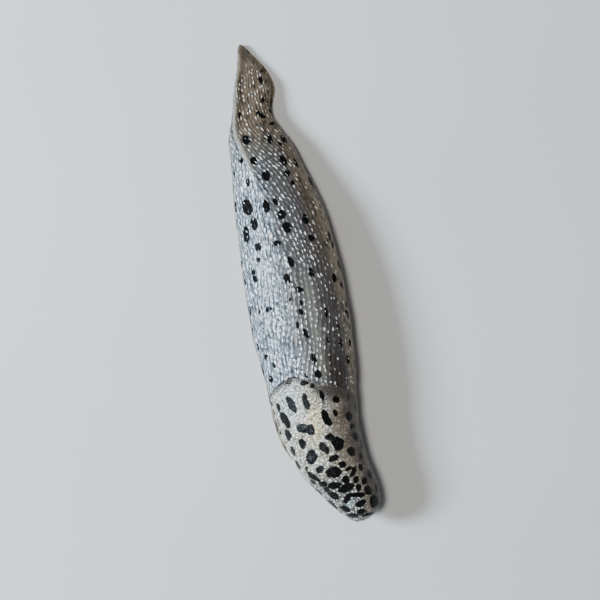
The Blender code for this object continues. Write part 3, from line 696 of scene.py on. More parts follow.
def bodyMarks(grid, normal, onBack, alongGrid, arc, fromFoot, ahead):
    # the body's spots, and where each of its other colours lies
    seen = (normal[:, :, 2] > 0.12) & onBack & (ahead < 0.5)
    spot = spotField(grid, backSpots, seen, (1.14, 1.14), 0.24)
    unseen = onBack & (normal[:, :, 2] < 0.42) & (fromFoot > 0.12) & (ahead < -1) & (alongGrid > 16)
    spot = addSpots(grid, normal, spot, unseen, hiddenBackSpots)
    faint = spotField(grid, faintSpots, seen, (1.1, 1.1), 0.2)
    tailBrown = np.maximum(smoothStep(arc, 1.2, -0.4), smoothStep(alongGrid, 9, 5))
    tailBrown = tailBrown * smoothStep(alongGrid, 32, 16)
    leftward = placeAcross(grid[:, :, 0], alongGrid)
    flankBrown = smoothStep(leftward, 0.35, 0.85) * smoothStep(alongGrid, 70, 30)
    shade = smoothStep(leftward, 0.10, 0.60) * smoothStep(alongGrid, 12, 40) * onBack
    overhang = smoothStep(leftward, 0.66, 0.86) * smoothStep(alongGrid, 20, 34)
    low = np.maximum(smoothStep(fromFoot, 0.24, 0.10), overhang) * smoothStep(alongGrid, 10, 40)
    pale = 0.75 * low * onBack + (1 - onBack)
    # painted shade: the back darkens towards the mantle's rear edge, on the side away from the window
    mottleAndPaintedShade = smoothStep(ahead, -16, -0.5) * smoothStep(leftward, -0.1, 0.45) * onBack
    # painted sheen: the side towards the window is paler and bluer, standing in for the light and the sky's
    # reflection on it
    paintedSheen = smoothStep(leftward, 0.15, -0.45) * smoothStep(alongGrid, 14, 34) * onBack
    paintedSheen = paintedSheen * smoothStep(fromFoot, 0.1, 0.4)
    # painted shadow: a dark line on the back just behind the mantle's free rear edge, on the left
    paintedShadowUnderMantle = np.exp(-(((ahead + 0.2) / 0.5) ** 2)) * smoothStep(leftward, -0.1, -0.45) * onBack
    band = np.exp(-(((leftward - 0.28) / 0.12) ** 2)) * smoothStep(alongGrid, 48, 60) * onBack
    return {
        "paintedSheen": paintedSheen,
        "paintedShadowUnderMantle": paintedShadowUnderMantle,
        "band": band,
        # how strongly the painted glints show: weaker low on the flanks
        "glint": 0.3 + 0.7 * smoothStep(fromFoot, 0.15, 0.5),
        "spot": spot,
        "faint": faint,
        "brown": np.maximum(tailBrown, flankBrown),
        "shade": shade,
        "mottleAndPaintedShade": mottleAndPaintedShade,
        "pale": pale,
    }


def shapeFace(grid, onBack):
    # lips, mouth and folds on the front of the head
    across = grid[:, :, 0] - float(midline(headShape["front"]))
    height = grid[:, :, 2]
    near = smoothStep(grid[:, :, 1], 102.5, 105.5) * onBack
    fromMouth = ((height - headShape["mouthHeight"]) / 0.5) ** 2
    bulge = 0.55 * np.exp(-(((height - 3.7) / 1.5) ** 2))
    lips = sum(np.exp(-(((across - side * 0.5) / 0.42) ** 2) - fromMouth) for side in (-1, 1))
    mouth = np.exp(-((across / 0.16) ** 2) - fromMouth * 1.4)
    folds = np.sin(np.hypot(across, (height - 3.0) * 1.3) * 5.2 + 1.5 * smoothNoise(grid / 1.2, 7))
    grid = grid.copy()
    grid[:, :, 1] += near * (bulge + 0.42 * lips - 0.75 * mouth + 0.045 * folds - 0.35)
    return grid


mantleMesh = {"meridians": 372, "outer": 138, "bead": 8, "lining": 30}


def reachToWidest(angle):
    # how far a ray from the nucleus runs in plan before it leaves the body
    centre = mantleShape["nucleus"]
    low, high = np.zeros(angle.shape), np.full(angle.shape, 40.0)
    for _ in range(40):
        middle = (low + high) / 2
        across, along = centre[0] + np.cos(angle) * middle, centre[1] + np.sin(angle) * middle
        inside = (along > 0) & (along < bodyShape["length"])
        inside &= np.abs(across - midline(along)) < halfWidth(along)
        low, high = np.where(inside, middle, low), np.where(inside, high, middle)
    return low


def mantleMeridian(angle, reach):
    # over the body from the nucleus to the widest level, down the side to the rim, and cut at the rear edge
    centre = mantleShape["nucleus"]
    distance = reach * np.sin(np.linspace(0, math.pi / 2, 161))
    across, along = centre[0] + math.cos(angle) * distance, centre[1] + math.sin(angle) * distance
    line = np.stack([across, along, heightOver(across, along)], axis=1)
    across, along, _ = line[-1]
    side = 1 if across > midline(along) else -1
    before, after = along - 0.02, min(along + 0.02, bodyShape["length"] - 1e-3)
    run = (midline(after) + side * halfWidth(after)) - (midline(before) + side * halfWidth(before))
    outward = np.array([after - before, -run]) * side
    outward /= np.linalg.norm(outward)
    level = float(widestLevel(along))
    fromHood = (across - float(midline(bodyShape["length"]))) / mantleShape["hoodWidth"]
    raised = float(smoothStep(along, *mantleShape["hoodFrom"])) * math.exp(-(fromHood**4))
    rim = mantleShape["rimSide"] + (mantleShape["rimFront"] - mantleShape["rimSide"]) * raised
    height = level - (level - rim) * np.linspace(0, 1, 25)[1:]
    inward = tuckIn(level - height, float(halfWidth(min(along, mantleShape["lastTuck"]))))
    drop = np.stack([across - outward[0] * inward, along - outward[1] * inward, height], axis=1)
    line = np.concatenate([line, drop])
    ahead = aheadOfEdge(line[:, 0], line[:, 2], line[:, 1])
    past = np.nonzero(ahead < 0)[0]
    if len(past):
        i = past[0]
        share = ahead[i - 1] / (ahead[i - 1] - ahead[i])
        line = np.concatenate([line[:i], [line[i - 1] * (1 - share) + line[i] * share]])
    return line


def mantleSurface():
    # meridians at even distances round the rim, with the corners of the rim eased
    coarse = np.linspace(0, 2 * math.pi, 361)
    rims = np.array([mantleMeridian(a, r)[-1] for a, r in zip(coarse, reachToWidest(coarse))])
    run = np.concatenate([[0], np.cumsum(np.linalg.norm(np.diff(rims, axis=0), axis=1))])
    count = mantleMesh["meridians"]
    angles = np.interp(np.linspace(0, run[-1], count + 1)[:-1], run, coarse)
    lines = [mantleMeridian(a, r) for a, r in zip(angles, reachToWidest(angles))]
    lengths = np.array([np.linalg.norm(np.diff(line, axis=0), axis=1).sum() for line in lines])
    window = max(1, round(mantleShape["cornerRound"] / (run[-1] / count)))
    kernel = np.hanning(2 * window + 3)[1:-1]
    wrapped = np.concatenate([lengths[-window:], lengths, lengths[:window]])
    eased = np.minimum(lengths, np.convolve(wrapped, kernel / kernel.sum(), "valid"))
    surface = np.zeros((mantleMesh["outer"] + 1, count, 3))
    for j, line in enumerate(lines):
        kept = evenly(line, 400)[: max(3, int(round(400 * eased[j] / lengths[j])))]
        surface[:, j] = evenly(kept, mantleMesh["outer"] + 1)
    return surface


def distanceFromPore(across, along, height):
    # in radii of the breathing pore, low on the right
    poreAlong, poreHeight = mantleShape["porePlace"]
    poreAcross = float(midline(poreAlong) - halfWidth(poreAlong))
    long, tall = mantleShape["poreSize"]
    miss = ((across - poreAcross) / 2, (along - poreAlong) / long * 2, (height - poreHeight) / tall * 2)
    return np.sqrt(miss[0] ** 2 + miss[1] ** 2 + miss[2] ** 2)


def makeMantleSkin():
    surface = mantleSurface()
    outer, around = surface.shape[0] - 1, surface.shape[1]
    normal = gridNormals(surface)
    steps = np.linalg.norm(np.diff(surface, axis=0), axis=2)
    toRim = np.concatenate([np.cumsum(steps[::-1], axis=0)[::-1], np.zeros((1, around))])
    fromNucleus = np.concatenate([np.zeros((1, around)), np.cumsum(steps, axis=0)])
    across, along, height = np.moveaxis(surface, -1, 0)
    place = placeAcross(across, along)
    ahead = aheadOfEdge(across, height, along)
    soft = softEdge(place)
    lip = mantleShape["lip"] * smoothStep(ahead, 3.5, 0.0) * (1 - 0.9 * soft)
    share = smoothStep(np.minimum(toRim, np.maximum(ahead, 0) + 0.2), 0, mantleShape["taper"])
    thick = mantleShape["rimThick"] + (mantleShape["thick"] - mantleShape["rimThick"]) * share
    waves = smoothNoise(surface / 3.6, 5) + 0.35 * smoothNoise(surface / 1.3, 11) - 0.90
    waves = waves + 0.22 * smoothNoise(surface / (0.55, 0.9, 0.55), 29)
    rise = lip + mantleShape["undulation"] * waves * smoothStep(toRim, 0, 2.5)

    fromPore = distanceFromPore(across, along, height)
    rise = rise + 0.26 * np.exp(-(((fromPore - 1.45) / 0.38) ** 2)) - 0.8 * smoothStep(fromPore, 1.25, 0.55)

    # the rounded rim and the lining under it
    skin = surface + normal * rise[:, :, None]
    lining = surface + normal * (lip - thick)[:, :, None]
    outward = surface[-1] - surface[-4]
    outward /= np.linalg.norm(outward, axis=1)[:, None]
    middle, reach = (skin[-1] + lining[-1]) / 2, np.linalg.norm(skin[-1] - lining[-1], axis=1)[:, None] / 2
    up = (skin[-1] - lining[-1]) / (2 * reach)
    turn = np.linspace(0, math.pi, mantleMesh["bead"] + 2)[1:-1]
    bead = np.array([middle + reach * (up * math.cos(t) + outward * math.sin(t) * 0.68) for t in turn])
    back = np.linspace(outer, 0, mantleMesh["lining"]).round().astype(int)
    grid = np.concatenate([skin, bead, lining[back]])

    # markings
    seen = (normal[:, :, 2] > 0.1) & (toRim > 0.2)
    spot = spotField(skin, mantleSpots, seen, (1.18, 1.35), 0.30)
    unseen = (normal[:, :, 2] < 0.3) & (toRim > 0.5) & (fromPore > 2.2)
    spot = addSpots(skin, normal, spot, unseen, hiddenMantleSpots)
    masks = {
        "spot": spot,
        "ring": fromNucleus,
        "front": smoothStep(along, 92, 103),
        "tan": smoothStep(place, 0.1, 0.45),
        "shade": smoothStep(place, 0.35, 0.95),
        # painted shade: darker near the rear edge where it runs softly into the back, on the slug's left,
        # away from the window
        "edge": smoothStep(place, -0.35, 0.1) * smoothStep(ahead, 4.0, 0.3),
        # painted shade: a darker band along the free rim
        "rim": smoothStep(toRim, 0.9, 0.1) * (1 - soft),
        # painted shade: the hollow of the breathing pore is near black
        "pore": smoothStep(fromPore, 1.25, 0.8),
    }
    right, lower = toPhoto(skin)
    for name, (u, v, wide, high) in mantlePatches.items():
        masks[name] = np.exp(-(((right - u) / wide) ** 2) - ((lower - v) / high) ** 2) * (normal[:, :, 2] > 0)
    rows = np.concatenate([np.arange(outer + 1), np.full(len(bead), outer), back])
    masks = {name: values[rows] for name, values in masks.items()}
    inside = np.arange(len(rows)) > outer + len(bead)
    masks["under"] = np.repeat(inside[:, None] * 0.9, around, axis=1)
    return layOver("mantleSkin", grid, masks)


feelers = {
    "upper": {"height": 4.25, "along": 104.7, "spread": 1.75, "length": 3.15, "root": 1.0, "tip": 0.66,
              "aim": (0.30, 1.0, 0.02)},
    "lower": {"height": 2.65, "along": 105.2, "spread": 2.4, "length": 2.25, "root": 0.6, "tip": 0.42,
              "aim": (0.55, 1.0, -0.10)},
    "ringPitch": 0.34,
    "eyeRadius": 0.30,
    "eyeSunk": 0.26,
}


def makeFeeler(kind, side, word):
    size = feelers[kind]
    around, rings = 44, 52
    aim = np.array(size["aim"]) * (side, 1, 1)
    aim = aim / np.linalg.norm(aim)
    lift = np.array([0, 0, 1.0]) - aim * aim[2]
    lift /= np.linalg.norm(lift)
    flat = np.cross(aim, lift)
    t = np.linspace(0, 1, rings + 1)
    place = size["length"] * np.sin(t * math.pi / 2) ** 0.9
    straight = size["length"] - size["tip"]
    radius = size["root"] + (size["tip"] - size["root"]) * smoothStep(place, 0, straight * 0.8)
    dome = np.sqrt(np.clip(1 - np.clip((place - straight) / size["tip"], 0, 1) ** 2, 0, 1))
    radius = radius * dome * np.where(place < 0.02, 0.02, 1)
    radius = radius * (1 + 0.035 * np.sin(place * 2 * math.pi / feelers["ringPitch"]))
    angle = np.linspace(0, 2 * math.pi, around, endpoint=False)
    rootAcross = float(midline(headShape["front"])) + side * size["spread"]
    root = np.array([rootAcross, size["along"], size["height"]])
    ring = np.cos(angle)[:, None] * flat + np.sin(angle)[:, None] * lift
    grid = root + place[:, None, None] * aim + radius[:, None, None] * ring[None]
    grid = grid + 0.03 * smoothNoise(grid / 0.4, 7)[:, :, None] * ring[None] * dome[:, None, None]
    tipward = np.repeat(smoothStep(place, straight * 0.5, size["length"])[:, None], around, axis=1)
    piece = layOver("feeler" + kind.capitalize() + word, grid, {"tipward": tipward})
    return piece, root + aim * (size["length"] - feelers["eyeSunk"])


def makeEye(word, centre):
    # a slightly flattened bead in the tip of the feeler
    around, rings = 28, 18
    latitude = np.linspace(-math.pi / 2, math.pi / 2, rings + 1)[:, None]
    angle = np.linspace(0, 2 * math.pi, around, endpoint=False)[None]
    x, z = np.cos(latitude) * np.cos(angle), np.cos(latitude) * np.sin(angle)
    y = 0.95 * np.sin(latitude) + 0 * angle
    return layOver("eye" + word, centre + feelers["eyeRadius"] * np.stack([x, y, z], axis=2), {})


def tint(code):
    parts = [int(code[i : i + 2], 16) / 255 for i in (1, 3, 5)]
    return tuple(p / 12.92 if p < 0.04045 else ((p + 0.055) / 1.055) ** 2.4 for p in parts) + (1,)


def addNode(tree, kind, inputs=None, output=0, **settings):
    # adds a node with its settings, sets or links its inputs, and gives back one of its outputs; a word as an
    # input stands for the piece's attribute of that name
    node = tree.nodes.new("ShaderNode" + kind)
    for name, value in settings.items():
        setattr(node, name, value)
    for socket, value in (inputs or {}).items():
        if isinstance(value, str):
            value = addNode(tree, "Attribute", output="Fac", attribute_name=value)
        if isinstance(value, bpy.types.NodeSocket):
            tree.links.new(value, node.inputs[socket])
        else:
            node.inputs[socket].default_value = value
    return node.outputs[output]


def plugIn(tree, shader, links):
    for socket, value in links.items():
        tree.links.new(value, shader.inputs[socket])


def newMaterial(name, noises, settings):
    # a material with its noises, each given by its size in mm, in one number or three, and its detail
    material = bpy.data.materials.new(name)
    material.use_nodes = True
    tree = material.node_tree
    shader = tree.nodes["Principled BSDF"]
    for socket, value in settings.items():
        shader.inputs[socket].default_value = value
    place = addNode(tree, "TexCoord", output="Object")
    patterns = []
    for size, detail in noises:
        stretch = 1 / (np.broadcast_to(size, 3) * mm)
        vector = addNode(tree, "Mapping", {"Vector": place, "Scale": stretch})
        patterns.append(addNode(tree, "TexNoise", {"Vector": vector, "Scale": 1.0, "Detail": detail}))
    return material, tree, shader, patterns


def paintLayers(tree, look, colour, layers):
    # mixes one colour of a look after another over the first, each where its mask runs from low to high
    def ready(value):
        return tint(look[value]) if isinstance(value, str) else value

    colour = ready(colour)
    for mask, low, high, amount, over in layers:
        step = {0: mask, 1: low, 2: high, 4: amount}
        share = addNode(tree, "MapRange", step, interpolation_type="SMOOTHSTEP")
        colour = addNode(tree, "Mix", {0: share, 6: colour, 7: ready(over)}, output=2, data_type="RGBA")
    return colour


def unevenMask(tree, mask, noise, amount):
    # a mask whose edge a noise moves in and out
    value = addNode(tree, "Math", {0: noise, 1: amount, 2: -amount / 2}, operation="MULTIPLY_ADD")
    return addNode(tree, "Math", {0: mask, 1: value}, operation="ADD")


def filmAndRoughness(tree, look, spot, speckle):
    # how strong the coat of water is, off the spots and on them, and how rough the skin under it is
    off, on = look["film"]
    film = addNode(tree, "MapRange", {0: spot, 1: -0.10, 2: 0.06, 3: off, 4: on})
    low, high = look["roughness"]
    return film, addNode(tree, "MapRange", {0: speckle, 1: 0.35, 2: 0.65, 3: low, 4: high})


bodyLook = {
    "ground": "#4c4b49",
    "crest": "#575652",
    # painted sheen on the side towards the window, with its cloud and its dark fine lines
    "paintedSheen": "#69727a",
    "paintedSheenCloud": "#838c94",
    "paintedSheenStreak": "#1e252c",
    "band": "#66655d",
    "furrow": "#33322f",
    "streak": "#2b2a28",
    "paintedGlint": "#ffffff",
    "brown": "#615647",
    "brownCloud": "#756959",
    "brownFurrow": "#54493c",
    "brownPaintedGlint": "#fff7ec",
    "shade": "#494444",
    "mottleAndPaintedShade": "#2f2925",
    "pale": "#857862",
    "blotch": "#2a221c",
    "pleat": "#4d463c",
    "keel": "#827d72",
    "sole": "#c4bda9",
    "head": "#7f7368",
    "faint": "#2a211a",
    "spot": "#060606",
    "noises": [(3.0, 3), (0.3846, 2), ((1.0, 2.6, 1.4), 3)],  # size and detail of clouds, specks, blotches
    "film": (0.40, 0.02),  # the coat of water off the black spots and on them
    "roughness": (0.34, 0.50),
    "spotRoughness": 0.95,
    "bump": (1.6, 0.035),  # share of the fine lines, and depth
    "streakSize": (0.40, 2.2),  # of the fine dark lines, across the rows and along them
    "paintedGlintSize": (0.12, 0.29),  # half width and half length, as shares of a tubercle
    "paintedGlintPlace": (-0.08, 0.05),
}


def fineLines(tree, look):
    # a noise drawn out along the rows of tubercles
    ways = {}
    for i, (name, size) in enumerate((("acrossRows", "width"), ("alongRows", "length"))):
        scale = tubercles[size] / look["streakSize"][i]
        ways[i] = addNode(tree, "Math", {0: name, 1: scale}, operation="MULTIPLY")
    vector = addNode(tree, "CombineXYZ", ways)
    return addNode(tree, "TexNoise", {"Vector": vector, "Scale": 1.0, "Detail": 2})


def ridgesAndPaintedGlints(tree, look):
    # a keeled ridge along each tubercle, and short pale dashes of painted glint: on most, on some, on few,
    # and smaller ones
    squares = {}
    for i, name in enumerate(("side", "length")):
        size, shift = look["paintedGlintSize"][i], look["paintedGlintPlace"][i]
        value = addNode(tree, "Math", {0: name, 1: 1 / size, 2: -shift / size}, operation="MULTIPLY_ADD")
        squares[i] = addNode(tree, "Math", {0: value, 1: value}, operation="MULTIPLY")
    away = addNode(tree, "Math", squares, operation="ADD")
    paintedGlint = addNode(tree, "MapRange", {0: away, 1: 1.3, 2: 0.6}, interpolation_type="SMOOTHSTEP")
    sparkle = addNode(tree, "MapRange", {0: away, 1: 0.5, 2: 0.2}, interpolation_type="SMOOTHSTEP")
    ridge = addNode(tree, "MapRange", {0: away, 1: 7.0, 2: 0.0})
    ridge = addNode(tree, "Math", {0: ridge, 1: "core"}, operation="MULTIPLY")
    chance = addNode(tree, "MapRange", {0: "number", 1: 0.10, 2: 0.55, 3: 0.1})
    for factor in ("core", chance, "glint"):
        paintedGlint = addNode(tree, "Math", {0: paintedGlint, 1: factor}, operation="MULTIPLY")
    fewer = []
    for low, high in ((0.35, 0.6), (0.6, 0.75)):
        chosen = addNode(tree, "MapRange", {0: "number", 1: low, 2: high})
        fewer.append(addNode(tree, "Math", {0: paintedGlint, 1: chosen}, operation="MULTIPLY"))
    small = addNode(tree, "Math", {0: fewer[0], 1: sparkle}, operation="MULTIPLY")
    return ridge, paintedGlint, *fewer, small


def slugSkinMaterial():
    # wet slug skin: soft grey-brown flesh under a film of water that shines on the tubercles, and a small
    # painted glint, a pale dash, on every tubercle
    look = bodyLook
    material, tree, shader, patterns = newMaterial("wetSlugSkin", look["noises"], {
        "Specular IOR Level": 0.1, "Coat Roughness": 0.09, "Coat IOR": 1.38,
        "Subsurface Weight": 0.10, "Subsurface Radius": (0.8, 0.45, 0.3), "Subsurface Scale": 0.5 * mm,
    })
    cloud, speckle, blotch = patterns
    streak = fineLines(tree, look)
    ridge, paintedGlint, some, few, small = ridgesAndPaintedGlints(tree, look)
    shaded = paintLayers(tree, look, "shade", [
        (streak, 0.5, 0.3, 0.5, "streak"),
        (few, 0.0, 1.0, 0.9, "brownPaintedGlint"),
    ])
    # painted sheen on the side towards the window: dark fine lines as painted shade, pale ones as painted
    # highlight
    paintedSheenColour = paintLayers(tree, look, "paintedSheen", [
        (cloud, 0.5, 0.7, 0.5, "paintedSheenCloud"),
        ("crest", 0.4, 0.05, 0.6, "paintedSheenStreak"),
        (streak, 0.52, 0.40, 0.95, "paintedSheenStreak"),
        (streak, 0.56, 0.66, 0.5, "paintedGlint"),
    ])
    grey = paintLayers(tree, look, "ground", [
        # lighter on the crests and darker in the furrows and the fine grooves: partly the skin's own tone,
        # partly painted light and shade
        ("crest", 0.45, 0.95, 0.7, "crest"),
        (cloud, 0.45, 0.75, 0.5, "crest"),
        ("crest", 0.4, 0.05, 0.5, "furrow"),
        (streak, 0.46, 0.3, 0.7, "streak"),
        ("paintedSheen", 0.0, 1.0, 0.9, paintedSheenColour),
        ("band", 0.1, 1.0, 0.8, "band"),
        (paintedGlint, 0.0, 1.0, 1.0, "paintedGlint"),
        ("shade", 0.0, 1.0, 0.85, shaded),
        # painted shade on the back by the mantle's rear edge
        ("mottleAndPaintedShade", 0.0, 1.0, 0.7, "mottleAndPaintedShade"),
        ("band", 0.1, 1.0, 0.5, "band"),
        (few, 0.0, 1.0, 0.9, "paintedGlint"),
    ])
    brown = paintLayers(tree, look, "brownFurrow", [
        # darker in the furrows, lighter on the crests: partly the skin's own tone, partly painted light and
        # shade
        ("crest", 0.05, 0.6, 1.0, "brown"),
        (cloud, 0.4, 0.75, 0.6, "brownCloud"),
        (blotch, 0.52, 0.66, 0.8, "blotch"),
        (some, 0.0, 1.0, 1.0, "brownPaintedGlint"),
    ])
    spot = unevenMask(tree, "spot", speckle, 0.16)
    keel = unevenMask(tree, "keel", cloud, 0.9)
    pale = unevenMask(tree, "pale", cloud, 0.6)
    flank = paintLayers(tree, look, "pale", [
        (streak, 0.55, 0.3, 0.5, "furrow"),
        (blotch, 0.54, 0.62, 0.85, "blotch"),
        (few, 0.0, 1.0, 0.8, "brownPaintedGlint"),
    ])
    # the black spots, with small painted glints on some of them
    glinting = paintLayers(tree, look, "spot", [(small, 0.0, 1.0, 0.9, "paintedGlint")])
    colour = paintLayers(tree, look, grey, [
        ("brown", 0.0, 1.0, 1.0, brown),
        (pale, 0.3, 1.0, 0.85, flank),
        # painted shade: darker in the upright grooves of the margin
        ("pleat", 0.5, 1.0, 0.6, "pleat"),
        (keel, 0.1, 1.2, 0.75, "keel"),
        # painted shade in the crease beside the keel
        ("crease", 0.2, 0.9, 0.8, "streak"),
        # painted shadow behind the mantle's rear edge
        ("paintedShadowUnderMantle", 0.2, 0.8, 0.9, "spot"),
        ("head", 0.0, 1.0, 0.7, "head"),
        ("faint", -0.1, 0.25, 0.6, "faint"),
        (spot, -0.06, 0.08, 1.0, glinting),
        ("sole", 0.0, 1.0, 1.0, "sole"),
    ])
    # the black spots stay black in the light, with a duller surface and hardly any sheen of the film
    film, rough = filmAndRoughness(tree, look, spot, speckle)
    rough = addNode(tree, "MapRange", {0: spot, 1: -0.10, 2: 0.06, 3: rough, 4: look["spotRoughness"]})
    share, depth = look["bump"]
    height = addNode(tree, "Math", {0: streak, 1: share, 2: ridge}, operation="MULTIPLY_ADD")
    bump = addNode(tree, "Bump", {"Height": height, "Strength": 0.9, "Distance": depth * mm})
    plugIn(tree, shader, {
        "Base Color": colour, "Coat Weight": film, "Roughness": rough, "Normal": bump, "Coat Normal": bump,
    })
    return material


mantleLook = {
    "cream": "#999180",
    "mottleAndPaintedShade": "#625c50",
    "grit": "#453f37",
    "paintedGlareSpeck": "#f6f8f4",
    "warm": "#c9b283",
    "tan": "#7a6f60",
    "lilac": "#6c6671",
    "paintedSkySheen": "#9eabb1",
    "pearl": "#7a8a8f",
    "smear": "#503d2f",
    "front": "#464846",
    "shade": "#352d27",
    "edge": "#362f2a",
    "rim": "#4e4c48",
    "lining": "#6b6055",
    "pore": "#1a120d",
    "spot": "#070707",
    # size and detail of clouds, specks, grain and patches
    "noises": [(3.2, 4), (0.4167, 2), (0.42, 2), (1.1, 2)],
    "film": (0.60, 0.12),
    "roughness": (0.32, 0.46),
    "bump": (0.12, 0.16),  # share of the fingerprint ridges, and depth
    "ridgeBend": 14.0,  # how far the clouds shift the ridges, in radians
}


def mantleSkinMaterial():
    # the mantle's skin: smoother and paler than the back, ringed as finely as a fingerprint, and just as wet
    look = mantleLook
    material, tree, shader, patterns = newMaterial("wetMantleSkin", look["noises"], {
        "Specular IOR Level": 0.1, "Coat Roughness": 0.09, "Coat IOR": 1.38,
        "Subsurface Weight": 0.16, "Subsurface Radius": (0.9, 0.55, 0.35), "Subsurface Scale": 0.7 * mm,
    })
    cloud, speckle, grain, patch = patterns
    spot = unevenMask(tree, "spot", speckle, 0.14)
    shade = unevenMask(tree, "shade", cloud, 1.2)
    colour = paintLayers(tree, look, "cream", [
        # darker mottles, the mantle's own tone
        (cloud, 0.4, 0.7, 0.8, "mottleAndPaintedShade"),
        ("tan", 0.0, 1.0, 0.8, "tan"),
        ("warm", 0.1, 0.9, 0.75, "warm"),
        ("front", 0.0, 1.0, 0.8, "front"),
        # painted sheen: a pale blue-grey patch where the mantle's left reflects the sky
        ("paintedSkySheen", 0.1, 0.9, 0.6, "paintedSkySheen"),
        ("lilac", 0.1, 0.9, 0.7, "lilac"),
        ("pearl", 0.1, 0.9, 0.8, "pearl"),
        ("smear", 0.1, 0.9, 0.6, "smear"),
        (patch, 0.52, 0.70, 0.7, "mottleAndPaintedShade"),
        (grain, 0.50, 0.36, 0.8, "grit"),
        # painted glare: fine near-white specks over the mantle
        (grain, 0.54, 0.66, 0.75, "paintedGlareSpeck"),
        ("tan", 0.1, 1.0, 0.6, "tan"),
        (shade, 0.1, 0.9, 0.9, "shade"),
        # painted shade at the soft rear edge
        ("edge", 0.0, 1.0, 0.85, "edge"),
        # painted shade along the free rim
        ("rim", 0.0, 1.0, 0.8, "rim"),
        (spot, -0.06, 0.09, 1.0, "spot"),
        ("under", 0.0, 1.0, 1.0, "lining"),
        # painted shade in the breathing pore
        ("pore", 0.0, 1.0, 1.0, "pore"),
    ])
    film, rough = filmAndRoughness(tree, look, spot, speckle)
    bend = addNode(tree, "Math", {0: cloud, 1: look["ridgeBend"]}, operation="MULTIPLY")
    pitch = 2 * math.pi / mantleShape["ridgePitch"]
    phase = addNode(tree, "Math", {0: "ring", 1: pitch, 2: bend}, operation="MULTIPLY_ADD")
    wave = addNode(tree, "Math", {0: phase}, operation="SINE")
    share, depth = look["bump"]
    height = addNode(tree, "Math", {0: wave, 1: share, 2: grain}, operation="MULTIPLY_ADD")
    bump = addNode(tree, "Bump", {"Height": height, "Strength": 0.9, "Distance": depth * mm})
    plugIn(tree, shader, {
        "Base Color": colour, "Coat Weight": film, "Roughness": rough, "Normal": bump, "Coat Normal": bump,
    })
    return material


feelerLook = {
    "base": "#7b685c",
    "mottle": "#948374",
    "tip": "#5a473d",
    "noises": [(0.6667, 2), (0.2, 2)],
}
eyeLook = {"base": "#070605", "mottle": "#15100c", "noises": [(0.3333, 2)]}


def feelerSkinMaterial():
    # feeler skin: thin, brownish and wet, darker towards the tip
    material, tree, shader, (mottle, grain) = newMaterial("wetFeelerSkin", feelerLook["noises"], {
        "Roughness": 0.38, "Coat Weight": 0.9, "Coat Roughness": 0.10,
        "Subsurface Weight": 0.2, "Subsurface Radius": (1.0, 0.4, 0.25), "Subsurface Scale": 0.5 * mm,
    })
    colour = paintLayers(tree, feelerLook, "base", [
        (mottle, 0.35, 0.65, 1.0, "mottle"),
        ("tipward", 0.0, 1.0, 0.8, "tip"),
    ])
    bump = addNode(tree, "Bump", {"Height": grain, "Strength": 0.4, "Distance": 0.05 * mm})
    plugIn(tree, shader, {"Base Color": colour, "Normal": bump})
    return material


def eyeMaterial():
    # the eye spot: black pigment under clear wet skin
    material, tree, shader, (mottle,) = newMaterial("eyePigment", eyeLook["noises"], {
        "Roughness": 0.2, "Coat Weight": 1.0, "Coat Roughness": 0.05,
    })
    colour = paintLayers(tree, eyeLook, "base", [(mottle, 0.4, 0.7, 1.0, "mottle")])
    plugIn(tree, shader, {"Base Color": colour})
    return material


def dress(piece, material, slot, *nodes):
    piece.data.materials.clear()
    piece.data.materials.append(material)
    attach(piece, "root")
    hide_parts(*nodes)


def makeSlug():
    bodyNodes = ("tail", "back_rear", "back_middle", "back_front", "foot", "head")
    dress(makeBodySkin(), slugSkinMaterial(), "back_skin", *bodyNodes)
    dress(makeMantleSkin(), mantleSkinMaterial(), "mantle_skin", "mantle")
    feelerSkin, eyeBlack = feelerSkinMaterial(), eyeMaterial()
    for side, word in ((1, "Left"), (-1, "Right")):
        for kind in ("upper", "lower"):
            feeler, tip = makeFeeler(kind, side, word)
            dress(feeler, feelerSkin, "feeler_skin", f"feeler_{kind}_{word.lower()}")
            if kind == "upper":
                dress(makeEye(word, tip), eyeBlack, "eye_black", f"eye_{word.lower()}")


studio = {
    "floor": "#bdbcb9",
    "floorCloud": "#c1c0bd",
    "floorSize": 6,  # metres
    "noises": [(83.33, 2)],
    "zenith": ("#c8d4e2", 0.08),
    "horizon": ("#e3e6ea", 0.40),
    "leftSky": ("#a9cdf7", 0.26),
    "left": (-0.97, 0.24, 0.10),
    "lights": {
        "window": {"from": (-0.88, 0.26, 0.60), "distance": 0.62, "size": 0.16, "power": 12.0,
                   "colour": (0.74, 0.88, 1.0)},
        "overhead": {"from": (-0.22, 0.10, 0.97), "distance": 0.85, "size": 0.16, "power": 5.2,
                     "colour": (1.0, 0.99, 0.97)},
        "edge": {"from": (0.75, 0.05, 0.65), "distance": 0.85, "size": 0.10, "power": 0.4,
                 "colour": (1.0, 0.96, 0.90)},
    },
}


def softLight(name, settings):
    direction = Vector(settings["from"]).normalized()
    bpy.ops.object.light_add(type="AREA", location=direction * settings["distance"])
    lamp = bpy.context.object
    lamp.name = name + "Light"
    lamp.rotation_euler = (-direction).to_track_quat("-Z", "Y").to_euler()
    lamp.data.size, lamp.data.energy = settings["size"], settings["power"]
    lamp.data.color = settings["colour"]


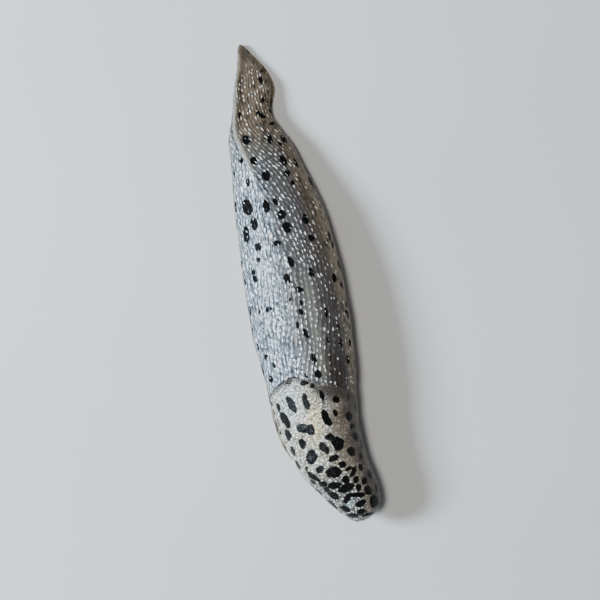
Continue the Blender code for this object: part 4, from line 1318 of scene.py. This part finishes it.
def makeSky():
    # dark overhead, pale round the horizon, and brightest on the picture's left
    world = bpy.data.worlds.new("studioSky")
    bpy.context.scene.world = world
    world.use_nodes = True
    tree = world.node_tree
    way = addNode(tree, "TexCoord", output="Generated")
    up = addNode(tree, "SeparateXYZ", {0: way}, output="Z")
    low = addNode(tree, "MapRange", {0: up, 1: 0.85, 2: 0.05}, interpolation_type="SMOOTHSTEP")
    side = addNode(tree, "VectorMath", {0: way, 1: studio["left"]}, output="Value", operation="DOT_PRODUCT")
    left = addNode(tree, "MapRange", {0: side, 1: 0.1, 2: 0.95}, interpolation_type="SMOOTHSTEP")
    skies = []
    for name in ("zenith", "horizon", "leftSky"):
        code, strength = studio[name]
        skies.append(tuple(part * strength for part in tint(code)[:3]) + (1,))
    sky = addNode(tree, "Mix", {0: low, 6: skies[0], 7: skies[1]}, output=2, data_type="RGBA")
    sky = addNode(tree, "Mix", {0: left, 6: sky, 7: skies[2]}, output=2, data_type="RGBA")
    plugIn(tree, tree.nodes["Background"], {"Color": sky})


def makeStudio():
    bpy.ops.object.select_all(action="DESELECT")
    bpy.ops.mesh.primitive_plane_add(size=studio["floorSize"])
    floor = bpy.context.object
    floor.name = "studioFloor"
    material, tree, shader, (cloud,) = newMaterial("paleFloor", studio["noises"], {"Roughness": 0.85})
    colour = paintLayers(tree, studio, "floor", [(cloud, 0.3, 0.7, 1.0, "floorCloud")])
    plugIn(tree, shader, {"Base Color": colour})
    floor.data.materials.append(material)
    makeSky()
    for name, settings in studio["lights"].items():
        softLight(name, settings)


def makeCamera():
    x, y = photoView["over"]
    bpy.ops.object.camera_add(location=(x * mm, y * mm, photoView["cameraHeight"] * mm))
    camera = bpy.context.object
    camera.name = "photoCamera"
    camera.rotation_euler = (0, 0, math.radians(photoView["turn"]))
    camera.data.lens, camera.data.sensor_width = photoView["lens"], photoView["sensor"]
    camera.data.clip_start, camera.data.clip_end = 0.005, 10
    bpy.context.scene.camera = camera


makeSlug()
makeStudio()
makeCamera()
print("scene ready")
